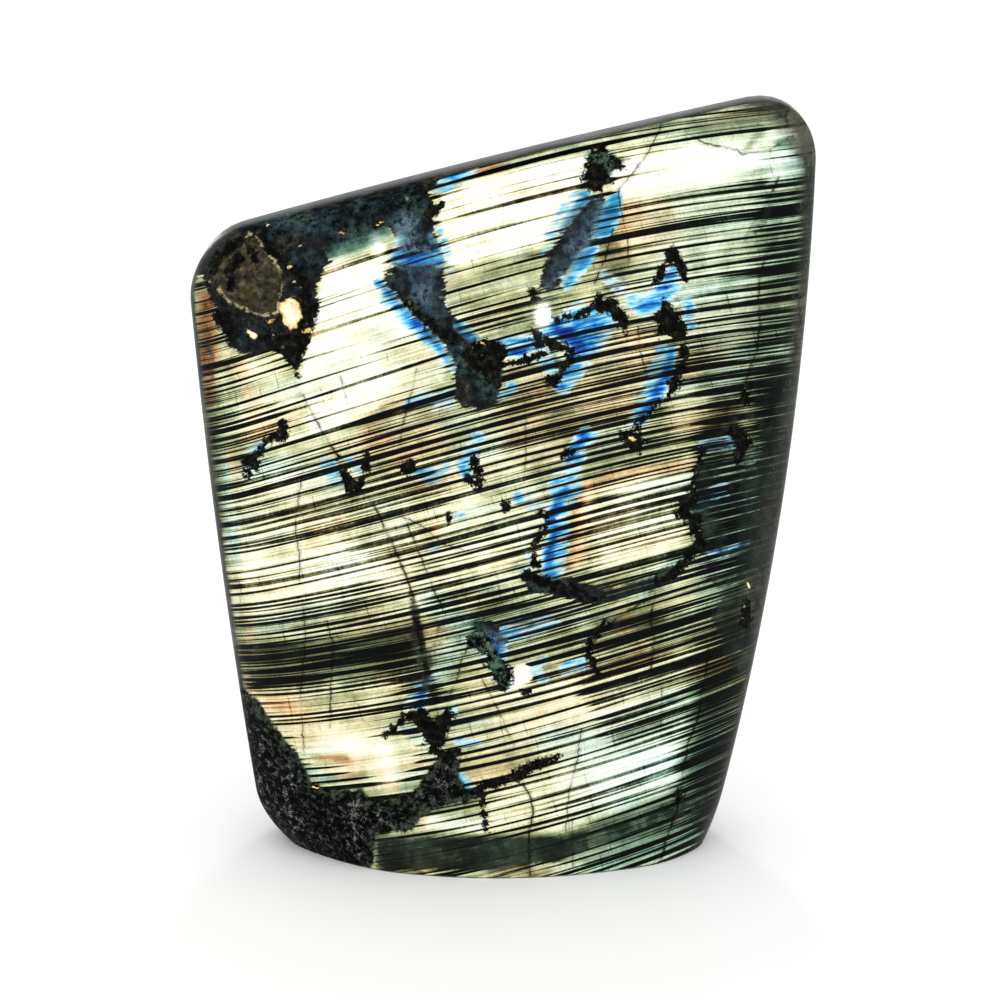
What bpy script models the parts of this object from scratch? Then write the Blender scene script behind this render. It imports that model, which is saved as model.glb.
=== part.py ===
"""A polished labradorite freeform, one stone standing on a flat sawn base.

The stone is one thick slab with a slanted top. Its front face, towards -Y, is
nearly flat and gently crowned, it leans back a little, and every edge except
the rim of the base is rounded by polishing. The origin is the bottom centre of
its bounding box, +X runs to the right of the front face and +Z is up.
"""

import bmesh
import bpy
import numpy as np

# Driving dimensions, in metres.
REFERENCE_HEIGHT = 0.140  # the height at which the "head" values below are given
LEFT_SHOULDER_HEIGHT = 0.1135  # the top line at its low, left end
RIGHT_PEAK_HEIGHT = 0.1408  # the top line at its high, right end
TOP_CROWN = 0.0008  # how far the top line bows up between its ends

# The two side lines, as x at the foot, at half the reference height and at the head.
LEFT_SIDE = (-0.0438, -0.0519, -0.0563)
RIGHT_SIDE = (0.0390, 0.0512, 0.0548)
LEFT_TUCK = 0.0050  # how far the left side draws in at the very foot
RIGHT_TUCK = 0.0011
TUCK_RISE = 0.011  # the height over which the sides draw in

# The front and back faces, as y on the stone's centre line.
FRONT_FOOT = -0.0170
FRONT_HEAD = -0.0080
BACK_FOOT = 0.0220
BACK_HEAD = 0.0140
CROWN_AT_FOOT = 0.54  # share of the half depth that the faces lose towards the sides
CROWN_AT_HEAD = 0.25

# Radii of the polished edges.
LEFT_RADIUS = 0.0100
RIGHT_RADIUS = 0.0120
LEFT_FOOT_RADIUS = 0.0300
RIGHT_FOOT_RADIUS = 0.0160
TOP_RADIUS = 0.0120
DEPTH_RADIUS = 0.0115

# The plain block that the rounding is worked out on, before the stone's taper.
BLOCK_HALF_WIDTH = 0.056
BLOCK_HALF_DEPTH = 0.016
BLOCK_HALF_HEIGHT = 0.065

# The cage: its cells along each edge, and the share of each edge that is not rounding.
CAGE_CELLS = 10
FLAT_SHARE = 0.6
SMOOTHING_LEVELS = 1
FITTING_STEPS = 4

NAME = "polished_labradorite"
STONE_COLOUR = (0.13, 0.15, 0.12, 1.0)
STONE_ROUGHNESS = 0.12


def clear_scene():
    for obj in list(bpy.data.objects):
        bpy.data.objects.remove(obj, do_unlink=True)


def along_edge(t, half, low_radius, high_radius):
    """Place a cube coordinate t, from -1 to 1, on a bar that is rounded at both ends."""
    low, high = low_radius - half, half - high_radius
    flat = low + (t + FLAT_SHARE) / (2 * FLAT_SHARE) * (high - low)
    past_high = high + (t - FLAT_SHARE) / (1 - FLAT_SHARE) * high_radius
    past_low = low + (t + FLAT_SHARE) / (1 - FLAT_SHARE) * low_radius
    return np.where(t > FLAT_SHARE, past_high, np.where(t < -FLAT_SHARE, past_low, flat))


def up_edge(t):
    """Place a cube coordinate on the upright, which is rounded at its top end only."""
    top = BLOCK_HALF_HEIGHT - TOP_RADIUS
    flat = -BLOCK_HALF_HEIGHT + (t + 1) / (1 + FLAT_SHARE) * (top + BLOCK_HALF_HEIGHT)
    past_top = top + (t - FLAT_SHARE) / (1 - FLAT_SHARE) * TOP_RADIUS
    return np.where(t > FLAT_SHARE, past_top, flat)


def rounded_block(u, w, v):
    """Round a cube's surface into a block, in shares of the block's half sizes."""
    to_foot = np.clip(1 - (v + 1) / (1 + FLAT_SHARE) / 0.75, 0, 1) ** 2
    left = LEFT_RADIUS + (LEFT_FOOT_RADIUS - LEFT_RADIUS) * to_foot
    right = RIGHT_RADIUS + (RIGHT_FOOT_RADIUS - RIGHT_RADIUS) * to_foot
    x = along_edge(u, BLOCK_HALF_WIDTH, left, right)
    y = along_edge(w, BLOCK_HALF_DEPTH, DEPTH_RADIUS, DEPTH_RADIUS)
    z = up_edge(v)
    core_x = np.clip(x, left - BLOCK_HALF_WIDTH, BLOCK_HALF_WIDTH - right)
    core_y = np.clip(y, DEPTH_RADIUS - BLOCK_HALF_DEPTH, BLOCK_HALF_DEPTH - DEPTH_RADIUS)
    core_z = np.minimum(z, BLOCK_HALF_HEIGHT - TOP_RADIUS)
    x_radius = np.where(x < core_x, left, right)
    out = np.stack(
        [(x - core_x) / x_radius, (y - core_y) / DEPTH_RADIUS, (z - core_z) / TOP_RADIUS]
    )
    length = np.linalg.norm(out, axis=0)
    out *= np.where(length > 0, np.abs(out).max(axis=0) / np.maximum(length, 1e-9), 1)
    return (
        (core_x + out[0] * x_radius) / BLOCK_HALF_WIDTH,
        (core_y + out[1] * DEPTH_RADIUS) / BLOCK_HALF_DEPTH,
        (core_z + out[2] * TOP_RADIUS) / BLOCK_HALF_HEIGHT,
    )


def side_line(values, share):
    """Read a side line, a parabola through its foot, middle and head values."""
    foot, middle, head = values
    return (
        foot * (1 - share) * (1 - 2 * share)
        + middle * 4 * share * (1 - share)
        + head * share * (2 * share - 1)
    )


def stone_points(cube):
    """Move points on the surface of the cube from -1 to 1 onto the stone."""
    across, deep, up = rounded_block(*cube.T)
    rise = (RIGHT_PEAK_HEIGHT - LEFT_SHOULDER_HEIGHT) * (across + 1) / 2
    top_line = LEFT_SHOULDER_HEIGHT + rise + TOP_CROWN * (1 - across**2)
    z = top_line * (up + 1) / 2
    share = z / REFERENCE_HEIGHT
    tuck = np.clip(1 - z / TUCK_RISE, 0, 1) ** 2
    left = side_line(LEFT_SIDE, share) + LEFT_TUCK * tuck
    right = side_line(RIGHT_SIDE, share) - RIGHT_TUCK * tuck
    x = left + (right - left) * (across + 1) / 2
    front = FRONT_FOOT + (FRONT_HEAD - FRONT_FOOT) * share
    back = BACK_FOOT + (BACK_HEAD - BACK_FOOT) * share
    crown = CROWN_AT_HEAD + (CROWN_AT_FOOT - CROWN_AT_HEAD) * (1 - share) ** 2
    y = (front + back) / 2 + deep * (back - front) / 2 * (1 - crown * across**2)
    return np.stack([x, y, z], axis=1)


def make_cage():
    """Subdivide a cube, shape it into the stone and crease the rim of its base."""
    cage = bmesh.new()
    bmesh.ops.create_cube(cage, size=2)
    bmesh.ops.subdivide_edges(
        cage, edges=cage.edges[:], cuts=CAGE_CELLS - 1, use_grid_fill=True
    )
    crease = cage.edges.layers.float.new("crease_edge")
    for edge in cage.edges:
        on_base = all(vert.co.z < -0.999 for vert in edge.verts)
        beside_wall = any(face.normal.z > -0.5 for face in edge.link_faces)
        edge[crease] = 1.0 if on_base and beside_wall else 0.0
    cube = np.array([vert.co for vert in cage.verts])
    mesh = bpy.data.meshes.new(NAME)
    cage.to_mesh(mesh)
    cage.free()
    place_points(mesh, stone_points(cube))
    mesh.shade_smooth()
    return mesh


def stone_material():
    material = bpy.data.materials.new("labradorite")
    material.use_nodes = True
    shader = material.node_tree.nodes["Principled BSDF"]
    shader.inputs["Base Color"].default_value = STONE_COLOUR
    shader.inputs["Roughness"].default_value = STONE_ROUGHNESS
    shader.inputs["Metallic"].default_value = 0.0
    return material


def mesh_points(mesh):
    return np.array([vert.co for vert in mesh.vertices])


def place_points(mesh, points):
    for vert, place in zip(mesh.vertices, points):
        vert.co = place


def smoothed_points(obj):
    """The stone's vertices as its modifier leaves them, the cage's own ones first."""
    bpy.context.view_layer.update()
    smoothed = obj.evaluated_get(bpy.context.evaluated_depsgraph_get())
    points = mesh_points(smoothed.to_mesh())
    smoothed.to_mesh_clear()
    return points


def fit_cage(stone):
    """Push the cage outwards until the smoothed stone passes through its first shape."""
    wanted = mesh_points(stone.data)
    for _ in range(FITTING_STEPS):
        reached = smoothed_points(stone)[: len(wanted)]
        place_points(stone.data, mesh_points(stone.data) + wanted - reached)


def centre_over_base(stone):
    """Bring the bottom centre of the stone's bounding box to the origin."""
    points = smoothed_points(stone)
    centre = (points.min(axis=0) + points.max(axis=0)) / 2
    place_points(stone.data, mesh_points(stone.data) - [centre[0], centre[1], 0])


def make_stone(collection):
    stone = bpy.data.objects.new(NAME, make_cage())
    collection.objects.link(stone)
    smooth = stone.modifiers.new("smooth", "SUBSURF")
    smooth.levels = SMOOTHING_LEVELS
    smooth.render_levels = SMOOTHING_LEVELS
    stone.data.materials.append(stone_material())
    fit_cage(stone)
    centre_over_base(stone)


def main():
    clear_scene()
    collection = bpy.data.collections.new(NAME)
    bpy.context.scene.collection.children.link(collection)
    make_stone(collection)


main()
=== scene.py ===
"""Looks of the polished labradorite: its fine surface, its banded flash and the studio."""

import bmesh
import bpy
import numpy as np
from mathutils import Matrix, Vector


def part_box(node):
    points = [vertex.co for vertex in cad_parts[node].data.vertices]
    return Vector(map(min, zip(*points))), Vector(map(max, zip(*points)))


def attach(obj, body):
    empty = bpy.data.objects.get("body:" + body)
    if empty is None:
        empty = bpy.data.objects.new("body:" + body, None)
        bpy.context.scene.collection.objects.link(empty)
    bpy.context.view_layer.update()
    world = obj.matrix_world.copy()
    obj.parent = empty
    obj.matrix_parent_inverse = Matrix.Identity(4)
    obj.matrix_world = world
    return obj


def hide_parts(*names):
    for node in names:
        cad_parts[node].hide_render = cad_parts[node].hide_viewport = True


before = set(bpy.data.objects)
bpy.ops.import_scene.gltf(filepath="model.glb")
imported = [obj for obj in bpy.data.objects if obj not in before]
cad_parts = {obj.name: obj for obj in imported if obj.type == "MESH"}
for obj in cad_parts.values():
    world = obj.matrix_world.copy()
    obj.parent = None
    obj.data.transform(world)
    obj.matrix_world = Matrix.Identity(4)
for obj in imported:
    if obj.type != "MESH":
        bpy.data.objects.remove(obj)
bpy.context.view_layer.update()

NODE = "polished_labradorite"

# ---------------------------------------------------------------- the stone's shape, in metres
REFERENCE_HEIGHT = 0.140
LEFT_SHOULDER_HEIGHT = 0.1135
RIGHT_PEAK_HEIGHT = 0.1408
TOP_CROWN = 0.0008
LEFT_SIDE = (-0.0438, -0.0519, -0.0563)  # x at the foot, the middle and the head
RIGHT_SIDE = (0.0390, 0.0512, 0.0548)
LEFT_TUCK = 0.0050
RIGHT_TUCK = 0.0011
TUCK_RISE = 0.011
FRONT_FOOT = -0.0170
FRONT_HEAD = -0.0080
BACK_FOOT = 0.0220
BACK_HEAD = 0.0140
CROWN_AT_FOOT = 0.54
CROWN_AT_HEAD = 0.25
LEFT_RADIUS = 0.0100
RIGHT_RADIUS = 0.0120
LEFT_FOOT_RADIUS = 0.0300
RIGHT_FOOT_RADIUS = 0.0160
TOP_RADIUS = 0.0120
DEPTH_RADIUS = 0.0115
BLOCK_HALF = (0.056, 0.016, 0.065)  # the plain block that the rounding is worked out on
RADIUS_FADE = 0.75  # share of the straight sides over which the foot's wider radii fade

# The mesh: cells along the cube's x, y and z, the flat share of each, and how much finer
# the front face and the strip beside it are.
CELLS = (56, 36, 68)
FLAT_SHARE = (0.82, 0.30, 0.86)
FRONT_CUTS = 3
STRIP_CUTS = 1
STRIP_EDGE = -0.3  # the strip's far edge, as a cube y
ON_SIDE = 0.999  # the cube coordinate past which a point lies on that side of the cube
SHARP_ANGLE = np.radians(40)

# ---------------------------------------------------------------- the photograph's camera
PHOTO_SIZE = 1000
CAMERA_DISTANCE = 0.50
CAMERA_ELEVATION = np.radians(17)
CAMERA_TARGET = (-0.00017, -0.0025, 0.0665)
CAMERA_LENS = 100.0
SENSOR = 36.0
PIXEL = 0.00018  # metres a pixel at the target


def smooth_step(low, high, x):
    t = np.clip((x - low) / (high - low), 0, 1)
    return t * t * (3 - 2 * t)


# ================================================================ geometry
def along_edge(t, share, half, low_radius, high_radius):
    """Place a cube coordinate on a bar that is rounded at both ends."""
    low, high = low_radius - half, half - high_radius
    flat = low + (t + share) / (2 * share) * (high - low)
    past_high = high + (t - share) / (1 - share) * high_radius
    past_low = low + (t + share) / (1 - share) * low_radius
    return np.where(t > share, past_high, np.where(t < -share, past_low, flat))


def up_edge(t, share):
    """Place a cube coordinate on the upright, which is rounded at its top end only."""
    half = BLOCK_HALF[2]
    top = half - TOP_RADIUS
    flat = -half + (t + 1) / (1 + share) * (top + half)
    return np.where(t > share, top + (t - share) / (1 - share) * TOP_RADIUS, flat)


def block_places(cube):
    """Where a cube's points lie on the plain block, and the side radii at their height."""
    u, w, v = cube.T
    z = up_edge(v, FLAT_SHARE[2])
    rise = (z + BLOCK_HALF[2]) / (2 * BLOCK_HALF[2] - TOP_RADIUS)
    to_foot = np.clip(1 - rise / RADIUS_FADE, 0, 1) ** 2
    left = LEFT_RADIUS + (LEFT_FOOT_RADIUS - LEFT_RADIUS) * to_foot
    right = RIGHT_RADIUS + (RIGHT_FOOT_RADIUS - RIGHT_RADIUS) * to_foot
    x = along_edge(u, FLAT_SHARE[0], BLOCK_HALF[0], left, right)
    y = along_edge(w, FLAT_SHARE[1], BLOCK_HALF[1], DEPTH_RADIUS, DEPTH_RADIUS)
    return x, y, z, left, right


def rounded_block(cube):
    """Round a cube's surface into a block, in shares of the block's half sizes."""
    x, y, z, left, right = block_places(cube)
    core_x = np.clip(x, left - BLOCK_HALF[0], BLOCK_HALF[0] - right)
    core_y = np.clip(y, DEPTH_RADIUS - BLOCK_HALF[1], BLOCK_HALF[1] - DEPTH_RADIUS)
    core_z = np.minimum(z, BLOCK_HALF[2] - TOP_RADIUS)
    x_radius = np.where(x < core_x, left, right)
    out = np.stack(
        [(x - core_x) / x_radius, (y - core_y) / DEPTH_RADIUS, (z - core_z) / TOP_RADIUS]
    )
    length = np.linalg.norm(out, axis=0)
    out *= np.where(length > 0, np.abs(out).max(axis=0) / np.maximum(length, 1e-9), 1)
    return (
        (core_x + out[0] * x_radius) / BLOCK_HALF[0],
        (core_y + out[1] * DEPTH_RADIUS) / BLOCK_HALF[1],
        (core_z + out[2] * TOP_RADIUS) / BLOCK_HALF[2],
    )


def side_line(values, share):
    """Read a side line, a parabola through its foot, middle and head values."""
    foot, middle, head = values
    return (
        foot * (1 - share) * (1 - 2 * share)
        + middle * 4 * share * (1 - share)
        + head * share * (2 * share - 1)
    )


def stone_points(cube):
    """Move points on the surface of the cube from -1 to 1 onto the stone."""
    across, deep, up = rounded_block(cube)
    rise = (RIGHT_PEAK_HEIGHT - LEFT_SHOULDER_HEIGHT) * (across + 1) / 2
    z = (LEFT_SHOULDER_HEIGHT + rise + TOP_CROWN * (1 - across**2)) * (up + 1) / 2
    share = z / REFERENCE_HEIGHT
    tuck = np.clip(1 - z / TUCK_RISE, 0, 1) ** 2
    left = side_line(LEFT_SIDE, share) + LEFT_TUCK * tuck
    right = side_line(RIGHT_SIDE, share) - RIGHT_TUCK * tuck
    x = left + (right - left) * (across + 1) / 2
    front = FRONT_FOOT + (FRONT_HEAD - FRONT_FOOT) * share
    back = BACK_FOOT + (BACK_HEAD - BACK_FOOT) * share
    crown = CROWN_AT_HEAD + (CROWN_AT_FOOT - CROWN_AT_HEAD) * (1 - share) ** 2
    y = (front + back) / 2 + deep * (back - front) / 2 * (1 - crown * across**2)
    return np.stack([x, y, z], axis=1)


def fit_to_box(points):
    """Bring the points to the CAD node's own box."""
    low, high = (np.array(corner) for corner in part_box(NODE))
    own_low, own_high = points.min(axis=0), points.max(axis=0)
    return low + (points - own_low) * (high - low) / (own_high - own_low)


def cut_along(mesh, axis, cells):
    edges = [e for e in mesh.edges if abs(e.verts[0].co[axis] - e.verts[1].co[axis]) > 1]
    bmesh.ops.subdivide_edges(mesh, edges=edges, cuts=cells - 1, use_grid_fill=True)


def refine(mesh, cuts, wanted):
    """Cut every face that is wanted into a finer grid."""
    edges = {e for face in mesh.faces if wanted(face.calc_center_median()) for e in face.edges}
    bmesh.ops.subdivide_edges(mesh, edges=list(edges), cuts=cuts, use_grid_fill=True)


def cube_grid():
    """A cube from -1 to 1 cut into cells, finest on its front face."""
    mesh = bmesh.new()
    bmesh.ops.create_cube(mesh, size=2)
    for axis, cells in enumerate(CELLS):
        cut_along(mesh, axis, cells)
    refine(mesh, FRONT_CUTS, lambda c: c.y < -ON_SIDE)
    refine(mesh, STRIP_CUTS, lambda c: -ON_SIDE < c.y < STRIP_EDGE and c.z > -ON_SIDE)
    return mesh


# One rectangle of the bake's map for each side of the cube, the front's the largest: the cube
# axes that run across and up it, whether the first is turned round, and its corner and size.
CHARTS = {
    (1, -1): (0, 2, False, (0.00, 0.19), (0.60, 0.81)),
    (1, 1): (0, 2, True, (0.61, 0.40), (0.39, 0.60)),
    (0, -1): (1, 2, True, (0.61, 0.00), (0.19, 0.39)),
    (0, 1): (1, 2, False, (0.81, 0.00), (0.19, 0.39)),
    (2, 1): (0, 1, False, (0.00, 0.10), (0.60, 0.08)),
    (2, -1): (0, 1, True, (0.00, 0.00), (0.60, 0.09)),
}


def face_centres(mesh, points):
    """Each loop's face, and each face's mean point."""
    totals = np.empty(len(mesh.polygons), np.int32)
    mesh.polygons.foreach_get("loop_total", totals)
    face_of_loop = np.repeat(np.arange(len(totals)), totals)
    sums = [np.bincount(face_of_loop, column) for column in points.T]
    return face_of_loop, np.stack(sums, axis=1) / totals[:, None]


def lay_out(mesh, cube):
    """The UV map that the looks are baked on."""
    loop_vertex = np.empty(len(mesh.loops), np.int32)
    mesh.loops.foreach_get("vertex_index", loop_vertex)
    corners = cube[loop_vertex]
    face_of_loop, centres = face_centres(mesh, corners)
    block = np.stack(block_places(corners)[:3], axis=1)
    shares = (block / BLOCK_HALF + 1) / 2
    places = np.zeros((len(corners), 2))
    for (axis, side), (across, up, turned, corner, size) in CHARTS.items():
        on_chart = (centres[:, axis] * side > ON_SIDE)[face_of_loop]
        share = shares[on_chart][:, [across, up]]
        if turned:
            share[:, 0] = 1 - share[:, 0]
        places[on_chart] = np.array(corner) + share * np.array(size)
    layer = mesh.uv_layers.new(name="OFBake")
    layer.data.foreach_set("uv", places.ravel())


def make_mesh():
    grid = cube_grid()
    cube = np.array([vert.co for vert in grid.verts])
    mesh = bpy.data.meshes.new("labradorite_surface")
    grid.to_mesh(mesh)
    grid.free()
    points = fit_to_box(stone_points(cube))
    mesh.vertices.foreach_set("co", points.ravel())
    mesh.shade_smooth()
    mesh.set_sharp_from_angle(angle=SHARP_ANGLE)
    lay_out(mesh, cube)
    mesh.update()
    return mesh, points


# ================================================================ photograph's frame
def camera_axes():
    forward = np.array([0, np.cos(CAMERA_ELEVATION), -np.sin(CAMERA_ELEVATION)])
    right = np.array([1.0, 0.0, 0.0])
    return right, np.cross(right, forward), forward


def photo_pixels(points):
    """Where points of the stone at rest fall in the photograph, in pixels."""
    right, up, forward = camera_axes()
    from_camera = points - (np.array(CAMERA_TARGET) - CAMERA_DISTANCE * forward)
    scale = CAMERA_LENS / SENSOR * PHOTO_SIZE / (from_camera @ forward)
    x = PHOTO_SIZE / 2 + from_camera @ right * scale
    y = PHOTO_SIZE / 2 - from_camera @ up * scale
    return x, y


# ================================================================ painting
# Strokes are chains of discs (x, y, radius) and areas are outlines, both in the pixels of the
# photograph's 1000 pixel frame; on the back they use the same scale, seen from behind.
FAR = 1e3  # pixels, further than any painted edge
FIELD_LIMIT = 40.0  # pixels, past which a distance is no longer told apart


def to_segment(x, y, start, end):
    """The share of the segment at which it comes nearest, and its distance there in pixels."""
    (x0, y0), (x1, y1) = start, end
    dx, dy = x1 - x0, y1 - y0
    t = np.clip(((x - x0) * dx + (y - y0) * dy) / max(dx * dx + dy * dy, 1e-6), 0, 1)
    return t, np.hypot(x - x0 - t * dx, y - y0 - t * dy)


def to_chain(x, y, chain):
    """Signed distance in pixels to a chain of discs, negative inside it."""
    best = np.full(x.shape, FAR)
    for (x0, y0, r0), (x1, y1, r1) in zip(chain, chain[1:] or chain):
        t, gap = to_segment(x, y, (x0, y0), (x1, y1))
        best = np.minimum(best, gap - (r0 + t * (r1 - r0)))
    return best


def to_area(x, y, outline):
    """Signed distance in pixels to a closed outline, negative inside it."""
    best = np.full(x.shape, FAR)
    within = np.zeros(x.shape, bool)
    for (x0, y0), (x1, y1) in zip(outline, outline[1:] + outline[:1]):
        best = np.minimum(best, to_segment(x, y, (x0, y0), (x1, y1))[1])
        if y0 != y1:
            within ^= ((y0 > y) != (y1 > y)) & (x < x0 + (y - y0) * (x1 - x0) / (y1 - y0))
    return np.where(within, -best, best)


def to_shape(x, y, shape):
    """Distance to a chain, whose points have a radius, or to an area, whose points have none."""
    return to_chain(x, y, shape) if len(shape[0]) == 3 else to_area(x, y, shape)


def nearest(x, y, shapes):
    gaps = [to_shape(x, y, shape) for shape in shapes]
    return np.clip(np.minimum.reduce(gaps), -FIELD_LIMIT, FIELD_LIMIT)


def blended(x, y, start, strokes):
    """Lay strokes (shape, softness, value) over a starting value, each one on top of the last."""
    field = np.full(x.shape, float(start))
    for shape, softness, value in strokes:
        cover = 1 - smooth_step(-softness / 2, softness / 2, to_shape(x, y, shape))
        field += cover * (value - field)
    return field


# The lamellae's slope at the middle of the stone, and how it turns and bends to the sides: its
# value high on the stone, its value low on it, and the pixel rows between which it changes.
SLOPE = (0.265, 0.235, 500, 750)
TURN = (-0.125, 0.145, 330, 800)
BEND = (-0.035, 0.0, 330, 560)
MIDDLE = 500  # the pixel column and row that they are measured from
REACH = 250  # pixels from the middle to a side


def down_stone(change, y):
    high, low, start, end = change
    return high + (low - high) * smooth_step(start, end, y)


def lamella_places(x, y):
    """Coordinates along and across the twin lamellae, in pixels."""
    q = (x - MIDDLE) / REACH
    slope, turn, bend = (down_stone(change, y) for change in (SLOPE, TURN, BEND))
    across = y + REACH * (slope * q + turn * q**2 / 2 + bend * q**3 / 3)
    along = x - SLOPE[0] * (y - MIDDLE)
    return along, across


def crack_places(x, y, cracks):
    """The nearest crack's distance to the side, its plain distance and its half width."""
    side = np.full(x.shape, FAR)
    away = np.full(x.shape, FAR)
    wide = np.zeros(x.shape)
    for half_width, crack in cracks:
        for (x0, y0), (x1, y1) in zip(crack, crack[1:]):
            _, gap = to_segment(x, y, (x0, y0), (x1, y1))
            own_side = (x - x0) * (y1 - y0) - (y - y0) * (x1 - x0)
            own_side = own_side / np.hypot(x1 - x0, y1 - y0)
            side = np.where(gap < away, own_side, side)
            wide = np.where(gap < away, half_width, wide)
            away = np.minimum(gap, away)
    return np.clip(side, -FIELD_LIMIT, FIELD_LIMIT), np.clip(away, 0, FIELD_LIMIT), wide


# ---------------------------------------------------------------- the front's fields
# Brightness of the flash: 0 dark, 0.3 olive, 0.6 sage, 0.8 cream, above 1 burnt out to white.
PLAIN_TONE = 0.78
PATCH_A = [(320, 272), (326, 264), (345, 261), (371, 257), (375, 236), (384, 240), (388, 262),
           (378, 282), (386, 300), (408, 320), (430, 341), (447, 361), (440, 380), (410, 384),
           (385, 402), (352, 425), (322, 424), (303, 405), (300, 382), (306, 348), (312, 328),
           (318, 300)]
PATCH_B = [(442, 194), (470, 182), (500, 174), (540, 165), (586, 156), (590, 176), (578, 192),
           (574, 208), (560, 228), (546, 244), (520, 252), (490, 260), (460, 268), (447, 262),
           (440, 240), (438, 215)]
TONE = [
    # the right half, sage and even
    ([(590, 100), (850, 90), (850, 400), (700, 400), (620, 300), (600, 220)], 60, 0.86),
    ([(690, 330), (830, 310), (800, 480), (700, 470)], 50, 0.68),
    ([(762, 190), (830, 180), (830, 420), (730, 420), (752, 300)], 34, 0.6),
    ([(500, 330), (640, 330), (640, 400), (560, 430), (500, 420)], 40, 0.86),
    ([(500, 385), (620, 370), (640, 450), (540, 480), (490, 450)], 40, 0.74),
    ([(550, 358, 6), (556, 368, 6)], 10, 0.4),
    # patch A, its yellow lower corner and the pool below it
    (PATCH_A, 9, 1.3),
    ([(380, 340, 10), (425, 368, 16), (400, 400, 14)], 26, 0.9),
    ([(322, 420, 16), (345, 400, 16)], 20, 1.35),
    # patch B and what lies under it
    (PATCH_B, 9, 1.38),
    ([(450, 268), (500, 262), (560, 256), (600, 262), (600, 305), (560, 330), (470, 335), (452, 300)],
     20, 0.72),
    ([(476, 170, 6), (505, 166, 4)], 12, 0.5),
    # the haze above patch A
    ([(330, 252, 7), (356, 244, 7), (382, 232, 7)], 12, 0.56),
    ([(374, 236, 4), (386, 240, 3)], 10, 0.95),
    # the top right
    ([(608, 160), (640, 150), (700, 141), (762, 136), (786, 150), (782, 170), (735, 182), (690, 188),
      (650, 196), (616, 202)], 20, 1.0),
    ([(612, 170), (640, 156), (700, 148), (758, 148), (764, 164), (735, 178), (690, 184), (650, 192),
      (618, 198)], 12, 1.4),
    ([(640, 122, 8), (700, 128, 10), (770, 116, 10)], 16, 0.58),
    ([(744, 152, 2), (760, 132, 4)], 9, 0.55),
    ([(780, 144, 6), (794, 142, 5)], 8, 0.5),
    ([(604, 236, 14), (618, 262, 14), (608, 292, 8)], 24, 0.5),
    # the left edge and the zone under the dark clump
    ([(252, 360), (300, 384), (300, 440), (250, 440), (228, 400)], 26, 1.0),
    ([(206, 300, 10), (208, 400, 8), (222, 520, 6)], 18, 0.42),
    ([(250, 480, 6), (290, 478, 10)], 20, 1.3),
    # the mid left, cream between black lines
    ([(232, 500), (330, 470), (420, 490), (440, 540), (430, 600), (330, 612), (240, 620)], 40, 1.05),
    ([(250, 575, 10), (340, 555, 14), (400, 575, 12)], 26, 1.3),
    ([(232, 560, 6), (246, 640, 6)], 14, 0.75),
    # the centre and the patch right of it
    ([(425, 470), (500, 440), (540, 480), (530, 560), (470, 620), (430, 590)], 40, 1.0),
    ([(592, 482), (690, 462), (694, 520), (688, 560), (600, 572), (580, 540)], 24, 1.12),
    ([(600, 535, 10), (670, 515, 10)], 18, 1.4),
    ([(590, 492, 7), (584, 530, 8), (578, 560, 7)], 12, 1.1),
    ([(600, 474, 7), (690, 462, 7)], 14, 0.85),
    # the dark right edge
    ([(702, 446), (720, 410), (762, 395), (790, 400), (760, 640), (716, 640), (694, 560), (686, 500)],
     26, 0.58),
    ([(674, 560, 8), (730, 565, 9), (700, 585, 7)], 14, 0.72),
    # the middle low band, tan at its right
    ([(500, 600), (600, 600), (700, 590), (705, 650), (600, 690), (480, 690)], 34, 0.74),
    ([(600, 620, 8), (650, 620, 12)], 20, 0.42),
    # the dark band at the left and its bright lines
    ([(236, 642), (330, 640), (420, 625), (430, 660), (400, 672), (250, 684)], 18, 0.42),
    # the lower left patch
    ([(256, 696), (300, 690), (350, 684), (405, 672), (424, 680), (424, 700), (405, 716),
      (400, 730), (440, 740), (445, 756), (424, 776), (405, 792), (388, 800), (368, 792),
      (330, 776), (305, 764), (292, 748), (270, 722)], 14, 0.86),
    ([(330, 738, 10), (376, 748, 14), (388, 776, 8)], 24, 1.25),
    ([(312, 757, 2), (346, 758, 3)], 7, 0.5),
    # the lower right
    ([(470, 690), (560, 680), (690, 660), (690, 800), (600, 826), (480, 836), (470, 800), (540, 772)],
     26, 0.98),
    ([(560, 780, 12), (620, 770, 20), (660, 760, 16)], 26, 1.4),
    ([(500, 810, 14), (560, 810, 14)], 14, 1.0),
    ([(512, 680, 7), (522, 674, 9)], 9, 1.5),
    ([(700, 660), (760, 640), (740, 760), (712, 830), (682, 800), (692, 720)], 30, 0.36),
    # the dark band along the foot and the bright strips under it
    ([(376, 836), (480, 834), (560, 834), (620, 820), (700, 796), (716, 808), (700, 826),
      (620, 846), (560, 862), (500, 872), (376, 872)], 10, 0.32),
    ([(600, 824, 7), (660, 810, 11), (700, 796, 11)], 30, 0.42),
    ([(575, 860, 10), (650, 846, 8), (690, 832, 6)], 10, 0.62),
    ([(535, 868, 5), (580, 868, 5)], 7, 0.95),
    ([(425, 872, 2), (486, 873, 2)], 4, 0.9),
    ([(430, 824, 5), (482, 826, 7)], 8, 1.2),
    ([(440, 812, 5), (480, 806, 6)], 8, 0.7),
]
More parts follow.
